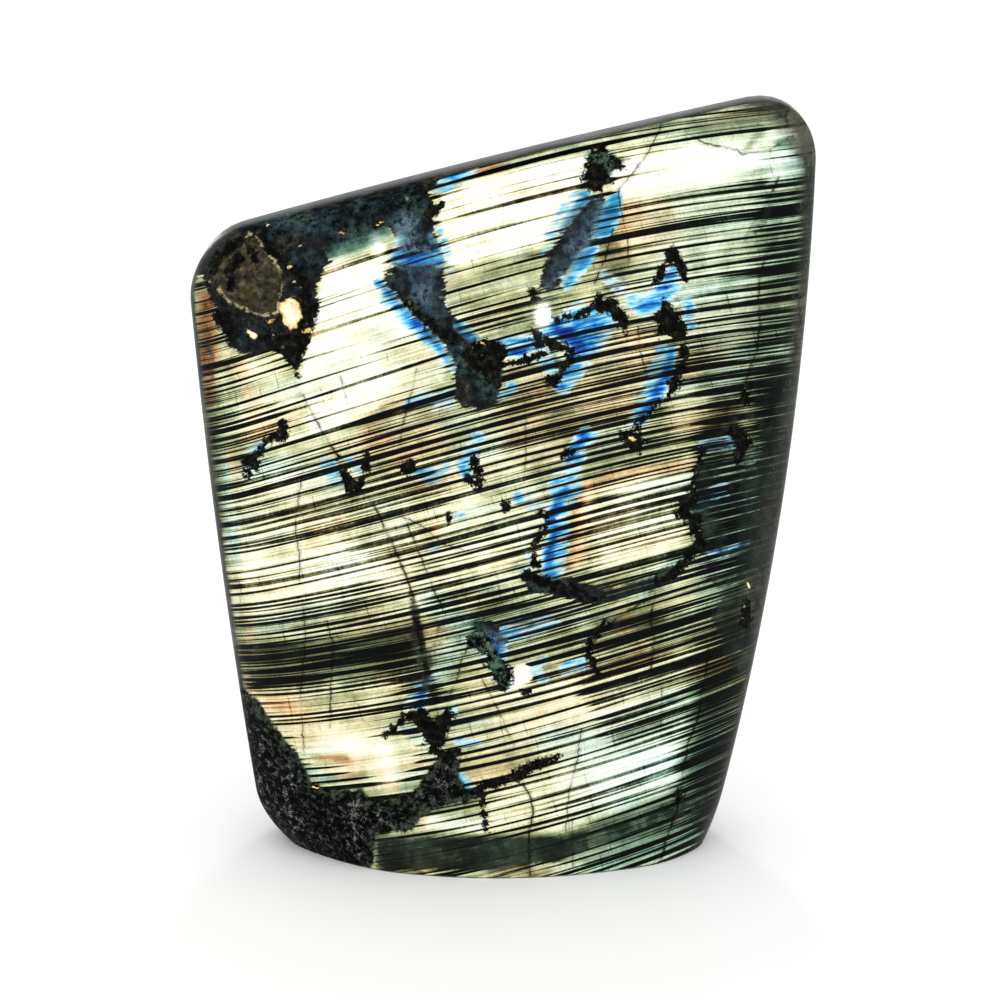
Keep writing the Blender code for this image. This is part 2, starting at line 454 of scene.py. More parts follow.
COPPER = [
    ([(242, 370, 7), (252, 400, 8), (262, 436, 7)], 18, 0.9),
    ([(226, 450, 6), (238, 478, 7)], 14, 0.8),
    ([(203, 296, 4), (204, 340, 7), (210, 400, 5)], 10, 1.0),
    ([(372, 440, 10), (395, 452, 10)], 24, 0.6),
    ([(425, 362, 6), (452, 366, 5)], 12, 0.5),
    ([(478, 172, 5), (500, 167, 4)], 9, 1.0),
    ([(622, 208, 8), (650, 224, 7), (664, 218, 4)], 16, 0.85),
    ([(604, 230, 9), (622, 242, 8)], 14, 0.9),
    ([(584, 395, 9), (600, 362, 8), (634, 338, 6)], 18, 0.75),
    ([(716, 340, 5), (744, 336, 4)], 10, 0.7),
    ([(700, 480, 6), (740, 470, 8), (730, 520, 8)], 20, 0.7),
    ([(388, 262, 4), (380, 300, 3)], 10, 0.3),
    ([(210, 300, 5), (212, 360, 6)], 8, 1.0),
    ([(690, 372, 6), (724, 362, 6)], 12, 0.8),
    ([(506, 400), (590, 340), (650, 330), (640, 420), (560, 450), (500, 450)], 30, 0.36),
    ([(606, 204), (672, 206), (690, 250), (640, 262), (600, 252)], 26, 0.5),
    ([(690, 300), (750, 330), (740, 380), (690, 380)], 30, 0.3),
    ([(404, 400), (450, 410), (440, 480), (390, 470)], 30, 0.4),
    ([(574, 560, 9), (580, 510, 9), (590, 488, 8)], 14, 0.75),
    ([(606, 476, 6), (690, 466, 6)], 12, 0.85),
    ([(434, 530, 7)], 10, 0.9),
    ([(250, 614, 7), (252, 632, 5)], 12, 0.9),
    ([(262, 700), (330, 700), (380, 726), (360, 780), (296, 750)], 24, 0.26),
    ([(276, 705, 8), (300, 716, 9)], 16, 0.8),
    ([(322, 756, 3), (350, 758, 3)], 8, 1.0),
    ([(380, 770, 8), (392, 786, 6)], 12, 0.6),
    ([(402, 768, 3), (422, 762, 3)], 5, 1.0),
    ([(330, 735, 6), (350, 742, 6)], 20, 0.4),
    ([(425, 820, 5)], 8, 0.8),
    ([(240, 500), (420, 470), (440, 600), (250, 630)], 60, 0.1),
    ([(480, 690), (640, 670), (620, 740), (480, 770)], 50, 0.25),
    ([(620, 622, 10), (640, 640, 6)], 20, 0.6),
    ([(264, 322, 4), (275, 320, 3)], 5, 1.0),
    ([(302, 326, 4), (315, 334, 4)], 8, 0.9),
]
TEAL = [
    ([(550, 356, 8), (556, 370, 8)], 10, 1.0),
    ([(588, 158, 6), (606, 158, 8), (612, 174, 6)], 10, 1.0),
    ([(480, 636, 12), (492, 656, 10), (506, 684, 8)], 16, 1.0),
    ([(660, 100), (820, 90), (820, 420), (740, 400), (650, 300)], 90, 0.45),
    ([(782, 148, 8), (798, 160, 6)], 10, 1.0),
    ([(555, 735), (690, 690), (740, 700), (712, 860), (560, 880), (600, 820)], 60, 0.7),
    ([(600, 866, 8), (690, 836, 8)], 16, 1.0),
    ([(384, 852, 14), (560, 848, 12)], 12, 0.5),
    ([(220, 440, 5), (236, 560, 6)], 16, 0.7),
    ([(250, 470, 6), (310, 470, 12), (330, 490, 8)], 24, 0.5),
    ([(690, 470), (770, 430), (750, 600), (700, 600)], 30, 0.75),
    ([(640, 590, 8), (680, 560, 8)], 20, 0.8),
    ([(430, 600, 10), (470, 630, 14), (440, 670, 10)], 26, 0.8),
    ([(306, 772, 6), (330, 780, 4)], 10, 0.9),
    ([(404, 790, 3), (424, 770, 3)], 8, 0.8),
    ([(404, 728, 5), (424, 740, 5)], 10, 0.8),
    ([(452, 300, 4), (465, 330, 4)], 16, 0.4),
    ([(330, 252, 9), (356, 244, 9), (384, 232, 9)], 14, 1.0),
]
# Where the painted flash, a reflection from the lamellae painted into the colour, fades out early at
# the polished corner: 1 not at all and 0 wholly.
LIT = [
    ([(730, 92), (840, 90), (840, 330), (810, 330), (807, 240), (804, 190), (799, 164), (786, 136),
      (768, 120), (746, 110)], 30, 0.15),
]
# Murk: dark cloudy ground under the flash, 0 clear and 1 solid.
MURK = [
    ([(328, 248, 7), (350, 238, 6), (376, 226, 5)], 14, 0.5),
    ([(204, 300, 6), (210, 340, 9), (212, 380, 4)], 16, 0.5),
    ([(600, 236, 9), (616, 250, 7)], 18, 0.5),
    ([(598, 158, 14), (620, 160, 10)], 22, 0.5),
    ([(702, 450), (724, 412), (764, 398), (792, 396), (764, 640), (722, 640), (712, 596), (694, 560),
      (688, 506)], 26, 0.55),
    ([(704, 470, 5), (700, 500, 7), (706, 530, 5)], 14, 0.9),
    ([(730, 470, 8), (722, 500, 8), (734, 540, 6)], 18, 0.3),
    ([(672, 562, 9), (730, 566, 9)], 16, 0.2),
    ([(726, 396, 6), (752, 388, 5)], 10, 0.3),
    ([(726, 606, 12), (738, 636, 18)], 30, 1.0),
    ([(560, 586, 8), (610, 594, 9), (650, 584, 10), (676, 572, 8)], 14, 0.8),
    ([(376, 838), (480, 836), (560, 836), (590, 830), (590, 850), (560, 862), (500, 870),
      (376, 872)], 9, 0.85),
    ([(600, 832, 7), (650, 820, 10), (704, 802, 11)], 26, 0.72),
    ([(246, 660, 8), (310, 654, 7), (350, 656, 4)], 16, 0.45),
    ([(250, 648, 4), (300, 646, 6)], 10, 0.6),
    ([(350, 648, 10), (410, 642, 8)], 20, 0.25),
    ([(440, 630, 8), (430, 660, 8)], 18, 0.5),
    ([(413, 600, 4), (418, 636, 7), (424, 668, 8), (428, 692, 6)], 12, 0.72),
    ([(456, 640, 8), (470, 650, 6)], 16, 0.5),
    ([(228, 322, 12), (238, 340, 10), (250, 350, 6)], 16, 0.7),
    ([(616, 622, 10), (660, 620, 10)], 18, 0.4),
    ([(744, 670, 10), (736, 750, 8), (716, 812, 8)], 24, 0.3),
    ([(762, 470, 8), (758, 540, 12), (750, 600, 16), (742, 660, 14)], 30, 0.85),
    ([(800, 200, 4), (794, 280, 8), (786, 340, 12), (766, 400, 14)], 30, 0.42),
    ([(604, 300, 8), (624, 280, 6)], 16, 0.4),
    ([(774, 198, 3), (762, 222, 7), (750, 240, 6)], 10, 0.55),
    ([(500, 326, 8), (540, 316, 8), (520, 336, 6)], 14, 0.45),
    ([(468, 284, 8), (520, 276, 6)], 18, 0.3),
]
# How crowded the dark lamellae are: 0 few, 0.5 as in the middle of the stone, 1 nearly solid.
PLAIN_CROWD = 0.5
CROWD = [
    (PATCH_A, 16, 0.34),
    (PATCH_B, 16, 0.34),
    ([(610, 164), (640, 152), (780, 140), (776, 168), (690, 186), (618, 200)], 16, 0.24),
    ([(590, 120, 20), (700, 118, 14), (780, 110, 8)], 20, 0.42),
    ([(768, 126), (814, 126), (814, 180), (768, 184)], 12, 0.3),
    ([(332, 250, 9), (360, 242, 9), (388, 236, 8)], 14, -0.3),
    ([(452, 285, 16), (590, 285, 16)], 20, 0.4),
    ([(640, 230, 30), (720, 220, 30)], 40, 0.47),
    ([(690, 320, 40), (730, 300, 30)], 40, 0.54),
    ([(764, 190), (830, 180), (830, 420), (730, 420), (752, 300)], 34, 0.62),
    ([(600, 350, 30), (680, 360, 30)], 40, 0.63),
    ([(740, 385, 16), (780, 380, 16)], 20, 0.8),
    ([(520, 420, 30), (640, 410, 30)], 40, 0.64),
    ([(256, 370, 16), (296, 400, 16), (300, 430, 10)], 24, 0.34),
    ([(280, 448, 14), (350, 440, 14)], 24, 0.42),
    ([(240, 512, 10), (330, 504, 16), (420, 494, 24)], 20, 0.72),
    ([(350, 534, 18), (430, 514, 18)], 24, 0.66),
    ([(250, 575, 12), (340, 560, 14), (400, 580, 10)], 20, 0.42),
    ([(240, 657, 12), (330, 657, 14), (410, 652, 12)], 18, 0.65),
    ([(590, 520, 26), (680, 505, 22)], 20, 0.56),
    ([(588, 498, 6), (582, 540, 7)], 12, 0.46),
    ([(450, 600, 20), (600, 640, 20), (700, 620, 20)], 30, 0.62),
    ([(350, 690, 8), (420, 676, 10)], 16, 0.74),
    ([(320, 700, 10), (400, 690, 10)], 16, 0.5),
    ([(310, 740, 16), (390, 760, 24)], 20, 0.14),
    ([(470, 710, 20), (560, 700, 24), (600, 740, 14), (460, 760, 14)], 30, 0.44),
    ([(600, 690, 20), (690, 670, 14)], 24, 0.68),
    ([(500, 815, 16), (620, 790, 30), (660, 780, 20)], 30, 0.46),
    ([(380, 852, 14), (500, 850, 14), (600, 838, 9)], 12, 0.3),
    ([(700, 640), (770, 600), (764, 700), (734, 850), (690, 850), (686, 780), (696, 700)], 40, 0.68),
    ([(690, 370, 18), (730, 380, 24), (712, 440, 14)], 30, 0.74),
    ([(620, 730, 18), (680, 720, 16)], 24, 0.66),
    ([(390, 665, 12), (425, 690, 14)], 20, 0.74),
    ([(256, 684, 8), (320, 680, 8)], 16, 0.7),
    ([(266, 706, 8), (300, 714, 8)], 16, 0.52),
    ([(720, 470, 26), (725, 560, 26)], 20, 0.72),
    ([(772, 370, 10), (770, 470, 12), (760, 560, 12)], 30, 0.85),
    ([(514, 680, 7), (522, 674, 9)], 8, -0.1),
]
# The blue parts of the flash, around and beside the dark inclusions.
BLUE = [
    ([(378, 280, 3), (388, 300, 6), (408, 320, 7), (432, 342, 7), (452, 366, 5)], 12, 0.4),
    ([(386, 290, 2), (398, 306, 4), (416, 324, 5), (434, 342, 4), (446, 360, 2)], 9, 0.8),
    ([(406, 226, 12), (414, 256, 14), (424, 290, 12), (438, 312, 7)], 20, 0.44),
    ([(400, 258, 8), (438, 258, 8)], 12, 0.95),
    ([(438, 226, 5), (445, 250, 6), (450, 276, 4)], 10, 0.2),
    ([(430, 236, 2), (440, 262, 3)], 7, 0.8),
    ([(442, 188, 6), (460, 176, 6), (474, 172, 4)], 14, 0.4),
    ([(452, 176, 4), (462, 172, 3)], 8, 0.85),
    ([(460, 326, 4), (476, 340, 5)], 10, 0.5),
    ([(456, 326, 2), (470, 338, 3)], 7, 0.95),
    ([(410, 402, 8), (448, 398, 8)], 20, 0.3),
    ([(598, 206, 8), (582, 232, 10), (562, 262, 9), (548, 284, 6)], 12, 0.36),
    ([(580, 192, 6), (568, 208, 7), (555, 230, 6), (543, 254, 4)], 12, 0.3),
    ([(586, 196, 4), (577, 208, 3), (564, 228, 2)], 8, 0.8),
    ([(616, 198, 5), (612, 214, 8), (602, 234, 7)], 10, 1.0),
    ([(594, 246, 5), (579, 268, 6), (567, 284, 4)], 11, 0.9),
    ([(550, 332, 10), (580, 318, 12), (606, 312, 6)], 16, 0.6),
    ([(594, 322, 5), (614, 312, 4)], 12, 0.5),
    ([(606, 324, 9), (592, 340, 11), (578, 362, 10), (564, 388, 6)], 14, 0.5),
    ([(600, 326, 6), (584, 342, 8), (572, 362, 6), (560, 386, 4)], 10, 0.8),
    ([(556, 328, 5), (570, 337, 7), (582, 346, 6)], 10, 1.0),
    ([(500, 344, 6), (520, 344, 9), (534, 342, 5)], 12, 0.66),
    ([(504, 352, 3), (524, 353, 4)], 7, 0.9),
    ([(500, 398, 4), (512, 388, 5)], 10, 0.4),
    ([(676, 266, 5), (668, 290, 10), (648, 306, 9), (634, 300, 6)], 14, 0.5),
    ([(670, 276, 4), (656, 300, 7), (640, 310, 5)], 10, 0.85),
    ([(620, 288, 5), (606, 276, 4)], 16, 0.4),
    ([(686, 298, 5), (690, 324, 5)], 12, 0.42),
    ([(664, 346, 6), (658, 372, 9), (650, 396, 9), (634, 420, 6)], 14, 0.34),
    ([(672, 352, 3), (666, 374, 5), (656, 396, 5), (640, 420, 4)], 9, 0.92),
    ([(588, 434, 8), (578, 448, 9), (574, 466, 8)], 14, 0.5),
    ([(584, 438, 5), (574, 448, 5), (570, 458, 3)], 8, 0.95),
    ([(568, 476, 9), (556, 486, 8)], 16, 0.4),
    ([(576, 488, 8), (562, 504, 11), (554, 522, 10)], 14, 0.34),
    ([(566, 488, 4), (558, 504, 6), (552, 518, 4)], 9, 0.95),
    ([(562, 530, 8), (556, 552, 10), (554, 576, 8)], 14, 0.38),
    ([(556, 530, 3), (549, 552, 5), (548, 574, 5)], 9, 0.98),
    ([(536, 504, 8), (524, 500, 7)], 16, 0.3),
    ([(518, 498, 4)], 10, 0.65),
    ([(530, 560, 6), (522, 572, 6)], 14, 0.3),
    ([(264, 444, 5), (252, 453, 6)], 9, 0.42),
    ([(258, 450, 3)], 6, 0.7),
    ([(328, 464, 8), (338, 478, 9)], 14, 0.36),
    ([(350, 460, 5), (360, 470, 4)], 10, 0.25),
    ([(420, 470, 6), (432, 476, 8), (444, 468, 5)], 14, 0.38),
    ([(540, 354, 8), (552, 370, 7)], 14, 0.34),
    ([(464, 466, 7), (478, 436, 6), (474, 450, 5)], 12, 0.4),
    ([(462, 470, 3), (470, 478, 3)], 7, 0.8),
    ([(460, 516, 6)], 12, 0.32),
    ([(434, 550, 6)], 12, 0.2),
    ([(532, 666, 6), (544, 680, 5)], 10, 0.36),
    ([(538, 664, 3), (546, 660, 3)], 6, 0.75),
    ([(566, 668, 6), (582, 662, 6)], 12, 0.4),
    ([(580, 664, 3)], 6, 0.7),
    ([(506, 634, 8), (536, 626, 8), (556, 622, 5)], 18, 0.34),
    ([(490, 640, 8), (500, 652, 6)], 12, 0.8),
    ([(421, 690, 6), (420, 704, 6)], 10, 0.95),
    ([(432, 676, 4), (408, 706, 4)], 10, 0.4),
    ([(453, 710, 4)], 8, 0.4),
    ([(460, 742, 5), (478, 744, 4)], 9, 0.32),
    ([(460, 776, 6), (468, 786, 6)], 9, 0.45),
    ([(455, 778, 4), (460, 784, 3)], 7, 0.95),
    ([(706, 446, 6), (734, 442, 6)], 12, 0.55),
    ([(712, 552, 5), (744, 544, 5)], 10, 0.6),
    ([(700, 500, 8), (720, 490, 6)], 20, 0.6),
    ([(280, 226, 6), (300, 232, 8), (320, 224, 8)], 26, 0.18),
]

# ---------------------------------------------------------------- the front's inclusions
SLATE = [
    [(196, 262), (210, 236), (244, 210), (298, 194), (376, 172), (430, 158), (446, 176),
     (434, 186), (430, 198), (440, 206), (431, 214), (434, 232), (438, 250), (443, 274),
     (446, 300), (456, 322), (476, 338), (500, 344), (506, 366), (500, 386), (498, 402),
     (484, 410), (466, 408), (456, 398), (454, 380), (456, 364), (442, 342), (422, 322),
     (404, 304), (390, 292), (384, 280), (392, 268), (396, 254), (400, 238), (390, 230),
     (376, 238), (356, 246), (336, 254), (324, 268), (318, 284), (317, 304), (312, 326), (306, 344),
     (300, 356), (280, 352), (262, 350), (246, 356), (232, 348), (224, 330), (214, 306)],
    [(590, 198), (606, 198), (603, 214), (596, 234), (583, 254), (567, 274), (551, 292),
     (539, 288), (543, 268), (554, 246), (567, 224), (579, 208)],
    [(500, 640, 8), (488, 630, 9), (476, 626, 5)],
    [(534, 582, 10), (570, 590, 10), (600, 596, 7)],
]
DARK = [
    [(298, 262), (306, 280), (312, 300), (318, 306), (316, 322), (308, 336), (308, 348), (300, 358),
     (297, 376), (290, 362), (280, 352), (268, 346), (258, 336), (268, 330), (280, 334), (292, 340),
     (300, 326), (302, 306), (298, 288), (290, 266)],
    [(256, 230, 3), (264, 240, 3), (270, 250, 3), (284, 258, 3)],
    [(212, 272, 3), (218, 258, 4), (230, 247, 4), (244, 238, 2)],
    [(238, 258, 4), (230, 272, 4), (232, 286, 3)],
    [(250, 248, 3), (256, 260, 3)],
    [(222, 318, 8), (232, 334, 5)],
    [(432, 212, 6), (440, 206, 4)],
    [(452, 338, 4), (430, 326, 4), (408, 304, 3)],
    [(474, 344), (486, 338), (502, 344), (508, 352), (502, 362), (500, 376), (490, 382), (480, 372),
     (470, 366), (462, 354)],
    [(530, 328), (540, 334), (548, 343), (544, 351), (535, 343)],
    [(546, 340, 4), (554, 346, 6), (564, 347, 4), (573, 354, 3)],
    [(571, 358, 3), (564, 366, 3), (560, 374, 2)],
    [(504, 365, 2), (520, 361, 3), (536, 356, 4), (544, 352, 3)],
    [(547, 376), (556, 373), (561, 381), (553, 389), (546, 384)],
    [(532, 290, 3), (536, 298, 4)],
    [(588, 151), (597, 146), (607, 149), (613, 156), (622, 160), (623, 168), (614, 172), (612, 181),
     (604, 183), (600, 191), (591, 193), (589, 184), (580, 180), (586, 170), (586, 160)],
    [(665, 249), (674, 246), (679, 253), (684, 264), (687, 280), (682, 278), (677, 267), (667, 262)],
    [(664, 264, 2), (660, 276, 3), (656, 283, 2)],
    [(665, 297), (669, 305), (677, 310), (680, 320), (687, 330), (684, 341), (676, 338), (668, 335),
     (657, 336), (661, 325), (652, 318), (659, 310)],
    [(684, 347, 4), (684, 360, 4), (678, 372, 3), (674, 384, 5), (668, 396, 2), (656, 406, 2),
     (646, 416, 2), (636, 426, 2)],
    [(620, 432), (630, 430), (640, 434), (648, 440), (642, 446), (640, 454), (630, 450), (624, 442)],
    [(572, 315), (584, 307), (594, 303), (600, 293), (607, 300), (618, 302), (626, 312), (630, 325),
     (625, 333), (617, 323), (608, 312), (594, 313), (580, 319)],
    [(556, 320, 3), (572, 316, 3)],
    [(283, 424, 4), (284, 434, 6), (276, 438, 4), (266, 440, 3), (262, 448, 2), (258, 456, 2)],
    [(246, 462, 4), (256, 462, 5), (249, 472, 4), (247, 480, 1)],
    [(340, 458, 2), (344, 472, 3), (350, 488, 6), (358, 488, 4), (364, 474, 2), (367, 456, 3)],
    [(408, 468, 7), (412, 462, 4)],
    [(474, 458, 4), (478, 474, 5), (480, 486, 4), (468, 478, 3)],
    [(448, 517, 4), (446, 522, 2)],
    [(506, 506, 5)],
    [(571, 452, 4), (562, 456, 2)],
    [(540, 512, 2), (550, 519, 3), (544, 530, 2), (537, 540, 3), (531, 551, 2), (536, 566, 3)],
    [(528, 576, 6), (552, 584, 5), (572, 592, 5), (592, 600, 3)],
    [(660, 580, 4), (676, 572, 4), (688, 560, 4), (700, 542, 5), (694, 526, 5)],
    [(702, 450, 2), (698, 466, 3), (693, 486, 3), (690, 502, 7), (678, 514, 4), (696, 520, 5)],
    [(734, 430, 6), (744, 444, 8), (738, 458, 5)],
    [(748, 386, 4), (744, 402, 4)],
    [(606, 622, 2), (590, 640, 3), (588, 652, 4), (594, 664, 3), (598, 674, 2)],
    [(466, 636), (480, 632), (494, 640), (498, 654), (508, 664), (512, 680), (504, 692), (494, 688),
     (496, 674), (486, 664), (484, 652), (472, 648)],
    [(524, 692, 2), (530, 690, 2)],
    [(402, 714), (414, 708), (426, 712), (434, 718), (448, 708), (456, 716), (450, 726), (446, 740),
     (438, 750), (426, 744), (424, 734), (412, 724)],
    [(404, 720, 2), (394, 728, 3), (384, 736, 2)],
    [(432, 748, 4), (444, 756, 5), (458, 752, 4)],
    [(484, 786, 4), (508, 779, 4), (526, 770, 5), (544, 762, 4), (560, 756, 2)],
    [(481, 790, 4), (483, 810, 2), (487, 830, 2)],
    [(680, 790, 3), (678, 800, 2)],
    [(747, 602, 3), (746, 622, 5)],
]
GRAIN = [
    [(240, 680), (260, 704), (278, 730), (294, 748), (304, 766), (310, 782), (326, 788),
     (344, 790), (362, 788), (370, 798), (388, 800), (412, 792), (420, 780), (434, 762),
     (448, 750), (460, 760), (458, 776), (466, 788), (486, 786), (480, 800), (440, 808),
     (420, 818), (414, 830), (376, 836), (372, 880), (250, 880), (230, 780)],
]
BROWN = [
    [(251, 229), (260, 238), (266, 252), (277, 258), (280, 272), (284, 283), (280, 296), (279, 312),
     (268, 317), (256, 315), (242, 308), (230, 304), (221, 296), (215, 286), (209, 281),
     (212, 269), (218, 257), (229, 249), (240, 239)],
]
# Small bright spots: (shape, softness, amount), gold at 0.5 and white at 1. Most are pale flecks of
# the stone; a few tiny white ones are painted glints of light on the polish.
SPOTS = [
    ([(281, 302), (290, 296), (300, 304), (303, 316), (298, 327), (290, 331), (282, 320), (279, 311)],
     6, 0.62),
    ([(288, 308, 3), (292, 318, 4)], 8, 1.0),
    ([(268, 322, 3), (276, 320, 2)], 4, 0.45),
    ([(304, 332, 3), (312, 328, 2)], 4, 0.45),
    ([(248, 331, 1), (254, 336, 3)], 3, 1.0),
    ([(288, 268, 2), (292, 266, 1)], 3, 0.7),
    ([(630, 438, 2), (635, 440, 2)], 3, 0.5),
    ([(312, 787, 1), (318, 787, 1)], 2, 0.9),
    ([(748, 584, 1), (749, 587, 1)], 2, 1.0),
    ([(479, 342, 1), (484, 344, 1)], 3, 0.8),
    ([(340, 232, 1), (344, 234, 1)], 3, 0.6),
    ([(376, 226, 1), (382, 222, 1)], 3, 0.8),
]
CRACKS = [
    (1.0, [(304, 398), (308, 406), (315, 417), (323, 434), (330, 444), (338, 456)]),
    (1.3, [(360, 490), (372, 502), (380, 517), (390, 540), (398, 556), (406, 576), (411, 592)]),
    (3.2, [(411, 592), (414, 610), (420, 632), (424, 656), (428, 676), (436, 700)]),
    (0.9, [(408, 526), (413, 538), (419, 552), (424, 564), (432, 586), (444, 612)]),
    (0.7, [(302, 472), (298, 500), (295, 532), (300, 558), (299, 580)]),
    (0.6, [(303, 606), (306, 640), (300, 690), (304, 752)]),
    (0.7, [(327, 624), (334, 646), (331, 680), (330, 724)]),
    (1.2, [(655, 596), (650, 618), (654, 640), (651, 668)]),
    (1.6, [(650, 598), (630, 610), (614, 620), (600, 636), (587, 649)]),
    (1.2, [(708, 652), (706, 676), (701, 700), (696, 724), (688, 742), (684, 768), (680, 790),
           (676, 812), (666, 840), (661, 860)]),
    (1.1, [(776, 240), (766, 254), (760, 274), (758, 302), (760, 322), (757, 350), (746, 380)]),
    (1.5, [(778, 180), (770, 196), (760, 214), (750, 228), (746, 240)]),
    (0.8, [(660, 128), (650, 150), (634, 172), (618, 190), (622, 214), (628, 240), (628, 262)]),
    (0.8, [(688, 134), (706, 144), (730, 148), (744, 154), (770, 150), (790, 137)]),
    (0.8, [(484, 682), (494, 702), (504, 722), (513, 742)]),
    (0.7, [(470, 640), (462, 660), (456, 682), (447, 698)]),
    (0.7, [(581, 732), (577, 760), (569, 792), (566, 828)]),
    (1.3, [(524, 786), (531, 798), (533, 812), (529, 834), (530, 872)]),
    (0.9, [(572, 822), (573, 864)]),
    (1.0, [(612, 232), (606, 256), (596, 280)]),
    (0.7, [(638, 330), (640, 350), (646, 372)]),
    (0.6, [(662, 690), (661, 724)]),
    (0.7, [(341, 380), (345, 394)]),
    (0.5, [(524, 400), (526, 440), (524, 478)]),
    (0.7, [(400, 440), (404, 420), (412, 392), (416, 372)]),
    (0.6, [(392, 512), (420, 524), (444, 544), (468, 552)]),
]


# ---------------------------------------------------------------- the back's fields, of its own design
# Where the back shows its painted flash, a reflection painted into the colour: 0 none and 1 full.
BACK_LIT = [
    ([(250, 310), (330, 300), (430, 330), (520, 400), (566, 480), (540, 560), (450, 566),
      (350, 520), (280, 440)], 90, 1.0),
    ([(570, 660), (640, 640), (720, 670), (716, 760), (650, 800), (580, 770)], 80, 0.9),
    ([(290, 190), (380, 180), (470, 220), (480, 262), (390, 280), (300, 250)], 70, 0.8),
    ([(690, 400, 16), (716, 470, 22)], 70, 0.75),
    ([(320, 720), (420, 740), (450, 810), (350, 840)], 70, 0.7),
]
BACK_TONE = [
    ([(340, 400, 30), (500, 500, 30)], 80, 0.9),
    ([(640, 730, 24)], 60, 0.75),
    ([(400, 245, 20)], 60, 0.8),
    ([(380, 790, 16)], 50, 0.6),
]
BACK_COPPER = [
    ([(420, 450, 20), (480, 520, 20)], 60, 0.7),
    ([(300, 360, 14)], 50, 0.5),
    ([(640, 740, 14)], 40, 0.6),
    ([(420, 250, 12)], 40, 0.5),
]
BACK_BLUE = [
    ([(280, 330, 10), (400, 372, 14), (500, 440, 16), (560, 520, 10)], 50, 0.45),
    ([(330, 352, 6), (420, 384, 8), (490, 430, 8)], 30, 0.9),
    ([(330, 520, 12), (430, 566, 12)], 40, 0.6),
    ([(600, 660, 10), (690, 700, 12)], 34, 0.5),
    ([(630, 668, 5), (680, 690, 6)], 20, 0.95),
    ([(300, 206, 8), (420, 206, 10), (480, 240, 8)], 34, 0.7),
    ([(690, 420, 12)], 40, 0.85),
    ([(370, 770, 12)], 40, 0.6),
]
BACK_SLATE = [
    [(584, 170), (640, 190), (820, 210), (820, 322), (786, 340), (760, 312), (728, 330),
     (706, 300), (676, 306), (660, 280), (622, 276), (606, 248), (580, 232), (570, 200)],
    [(486, 318), (512, 322), (534, 366), (576, 388), (598, 430), (640, 462), (658, 520),
     (650, 556), (634, 588), (640, 612), (610, 640), (596, 622), (610, 580), (618, 548),
     (606, 506), (580, 470), (566, 436), (534, 412), (520, 380), (494, 352)],
    [(200, 640), (250, 632), (300, 650), (330, 684), (372, 690), (404, 712), (380, 722),
     (330, 712), (296, 690), (250, 676), (200, 690)],
]
BACK_DARK = [
    [(512, 344), (530, 362), (552, 384), (580, 398), (590, 430), (568, 420), (540, 396), (516, 370)],
    [(640, 528), (654, 540), (650, 570), (626, 596), (612, 612), (616, 584), (632, 560)],
    [(286, 652), (310, 656), (330, 676), (360, 690), (340, 698), (304, 676)],
    [(420, 300, 4), (428, 322, 6), (420, 340, 3)],
    [(560, 780), (584, 784), (600, 800), (630, 812), (620, 826), (588, 816), (566, 798)],
    [(260, 330, 4), (266, 352, 5), (262, 366, 2)],
    [(480, 600, 3), (500, 620, 6), (490, 640, 3)],
    [(690, 270), (720, 280), (740, 300), (716, 310), (696, 292)],
]
BACK_GRAIN = [
    [(840, 640), (788, 652), (770, 690), (742, 706), (730, 744), (700, 760), (690, 800),
     (650, 816), (634, 850), (600, 866), (596, 900), (840, 900)],
]
BACK_BROWN = [
    [(372, 652), (396, 640), (418, 650), (430, 668), (462, 672), (486, 690), (474, 706), (492, 728),
     (468, 748), (440, 738), (424, 752), (404, 732), (400, 712), (378, 704), (384, 680)],
    [(500, 742), (514, 736), (526, 750), (518, 764), (502, 758)],
]
BACK_SPOTS = [
    ([(528, 366, 1), (534, 370, 2)], 3, 0.9),
    ([(644, 556, 1), (640, 562, 2)], 3, 0.8),
    ([(470, 700, 1), (476, 712, 2)], 3, 0.7),
]
BACK_CRACKS = [
    (0.9, [(350, 150), (372, 240), (366, 330), (392, 430), (400, 520)]),
    (0.7, [(560, 210), (580, 300), (620, 360)]),
    (1.2, [(600, 420), (612, 520), (590, 600), (604, 700), (590, 800)]),
    (0.8, [(430, 560), (446, 640), (440, 740), (452, 860)]),
    (0.7, [(250, 420), (300, 470), (320, 560)]),
    (1.0, [(500, 700), (540, 720), (600, 770)]),
]


# Each side's blended fields, as what they start from and their strokes, and its outlines.
FRONT_BLENDS = {
    "tone": (PLAIN_TONE, TONE),
    "copper": (0, COPPER),
    "teal": (0, TEAL),
    "crowd": (PLAIN_CROWD, CROWD),
    "blue": (0, BLUE),
    "lit": (1, LIT),
    "spots": (0, SPOTS),
    "murk": (0, MURK),
}
FRONT_SHAPES = {"slate": SLATE, "dark": DARK, "grain": GRAIN, "brown": BROWN}
BACK_BLENDS = {
    "tone": (0.5, BACK_TONE),
    "copper": (0, BACK_COPPER),
    "teal": (0.3, []),
    "crowd": (0.6, []),
    "blue": (0, BACK_BLUE),
    "lit": (0, BACK_LIT),
    "spots": (0, BACK_SPOTS),
    "murk": (0, []),
}
BACK_SHAPES = {"slate": BACK_SLATE, "dark": BACK_DARK, "grain": BACK_GRAIN, "brown": BACK_BROWN}

# How squarely the surface faces the camera where the painted flash, light reflected from the lamellae,
# starts and where it is full.
LIT_ON_LEFT = (0.30, 0.62)
LIT_ON_RIGHT = (0.46, 0.88)
LIT_ON_RIGHT_FOOT = (0.22, 0.58)
LIT_ON_TOP_LEFT = (0.14, 0.50)
LIT_ON_TOP_RIGHT = (0.14, 0.64)
RIGHT_FOOT = (0.055, 0.035)  # the heights, in metres, between which the right's limits change

BEHIND_ORIGIN = (500, 870)  # the back's pixel that lies at the stone's origin
BACK_BEGINS = (0.1, 0.7)  # the normal's y where the front's fields give way to the back's
BACK_FADES = (0.35, 0.8)  # and where the back's painted flash, a reflection painted into the colour, starts and is full
LAMELLA_DIP = 0.12  # how much the lamellae drop with depth


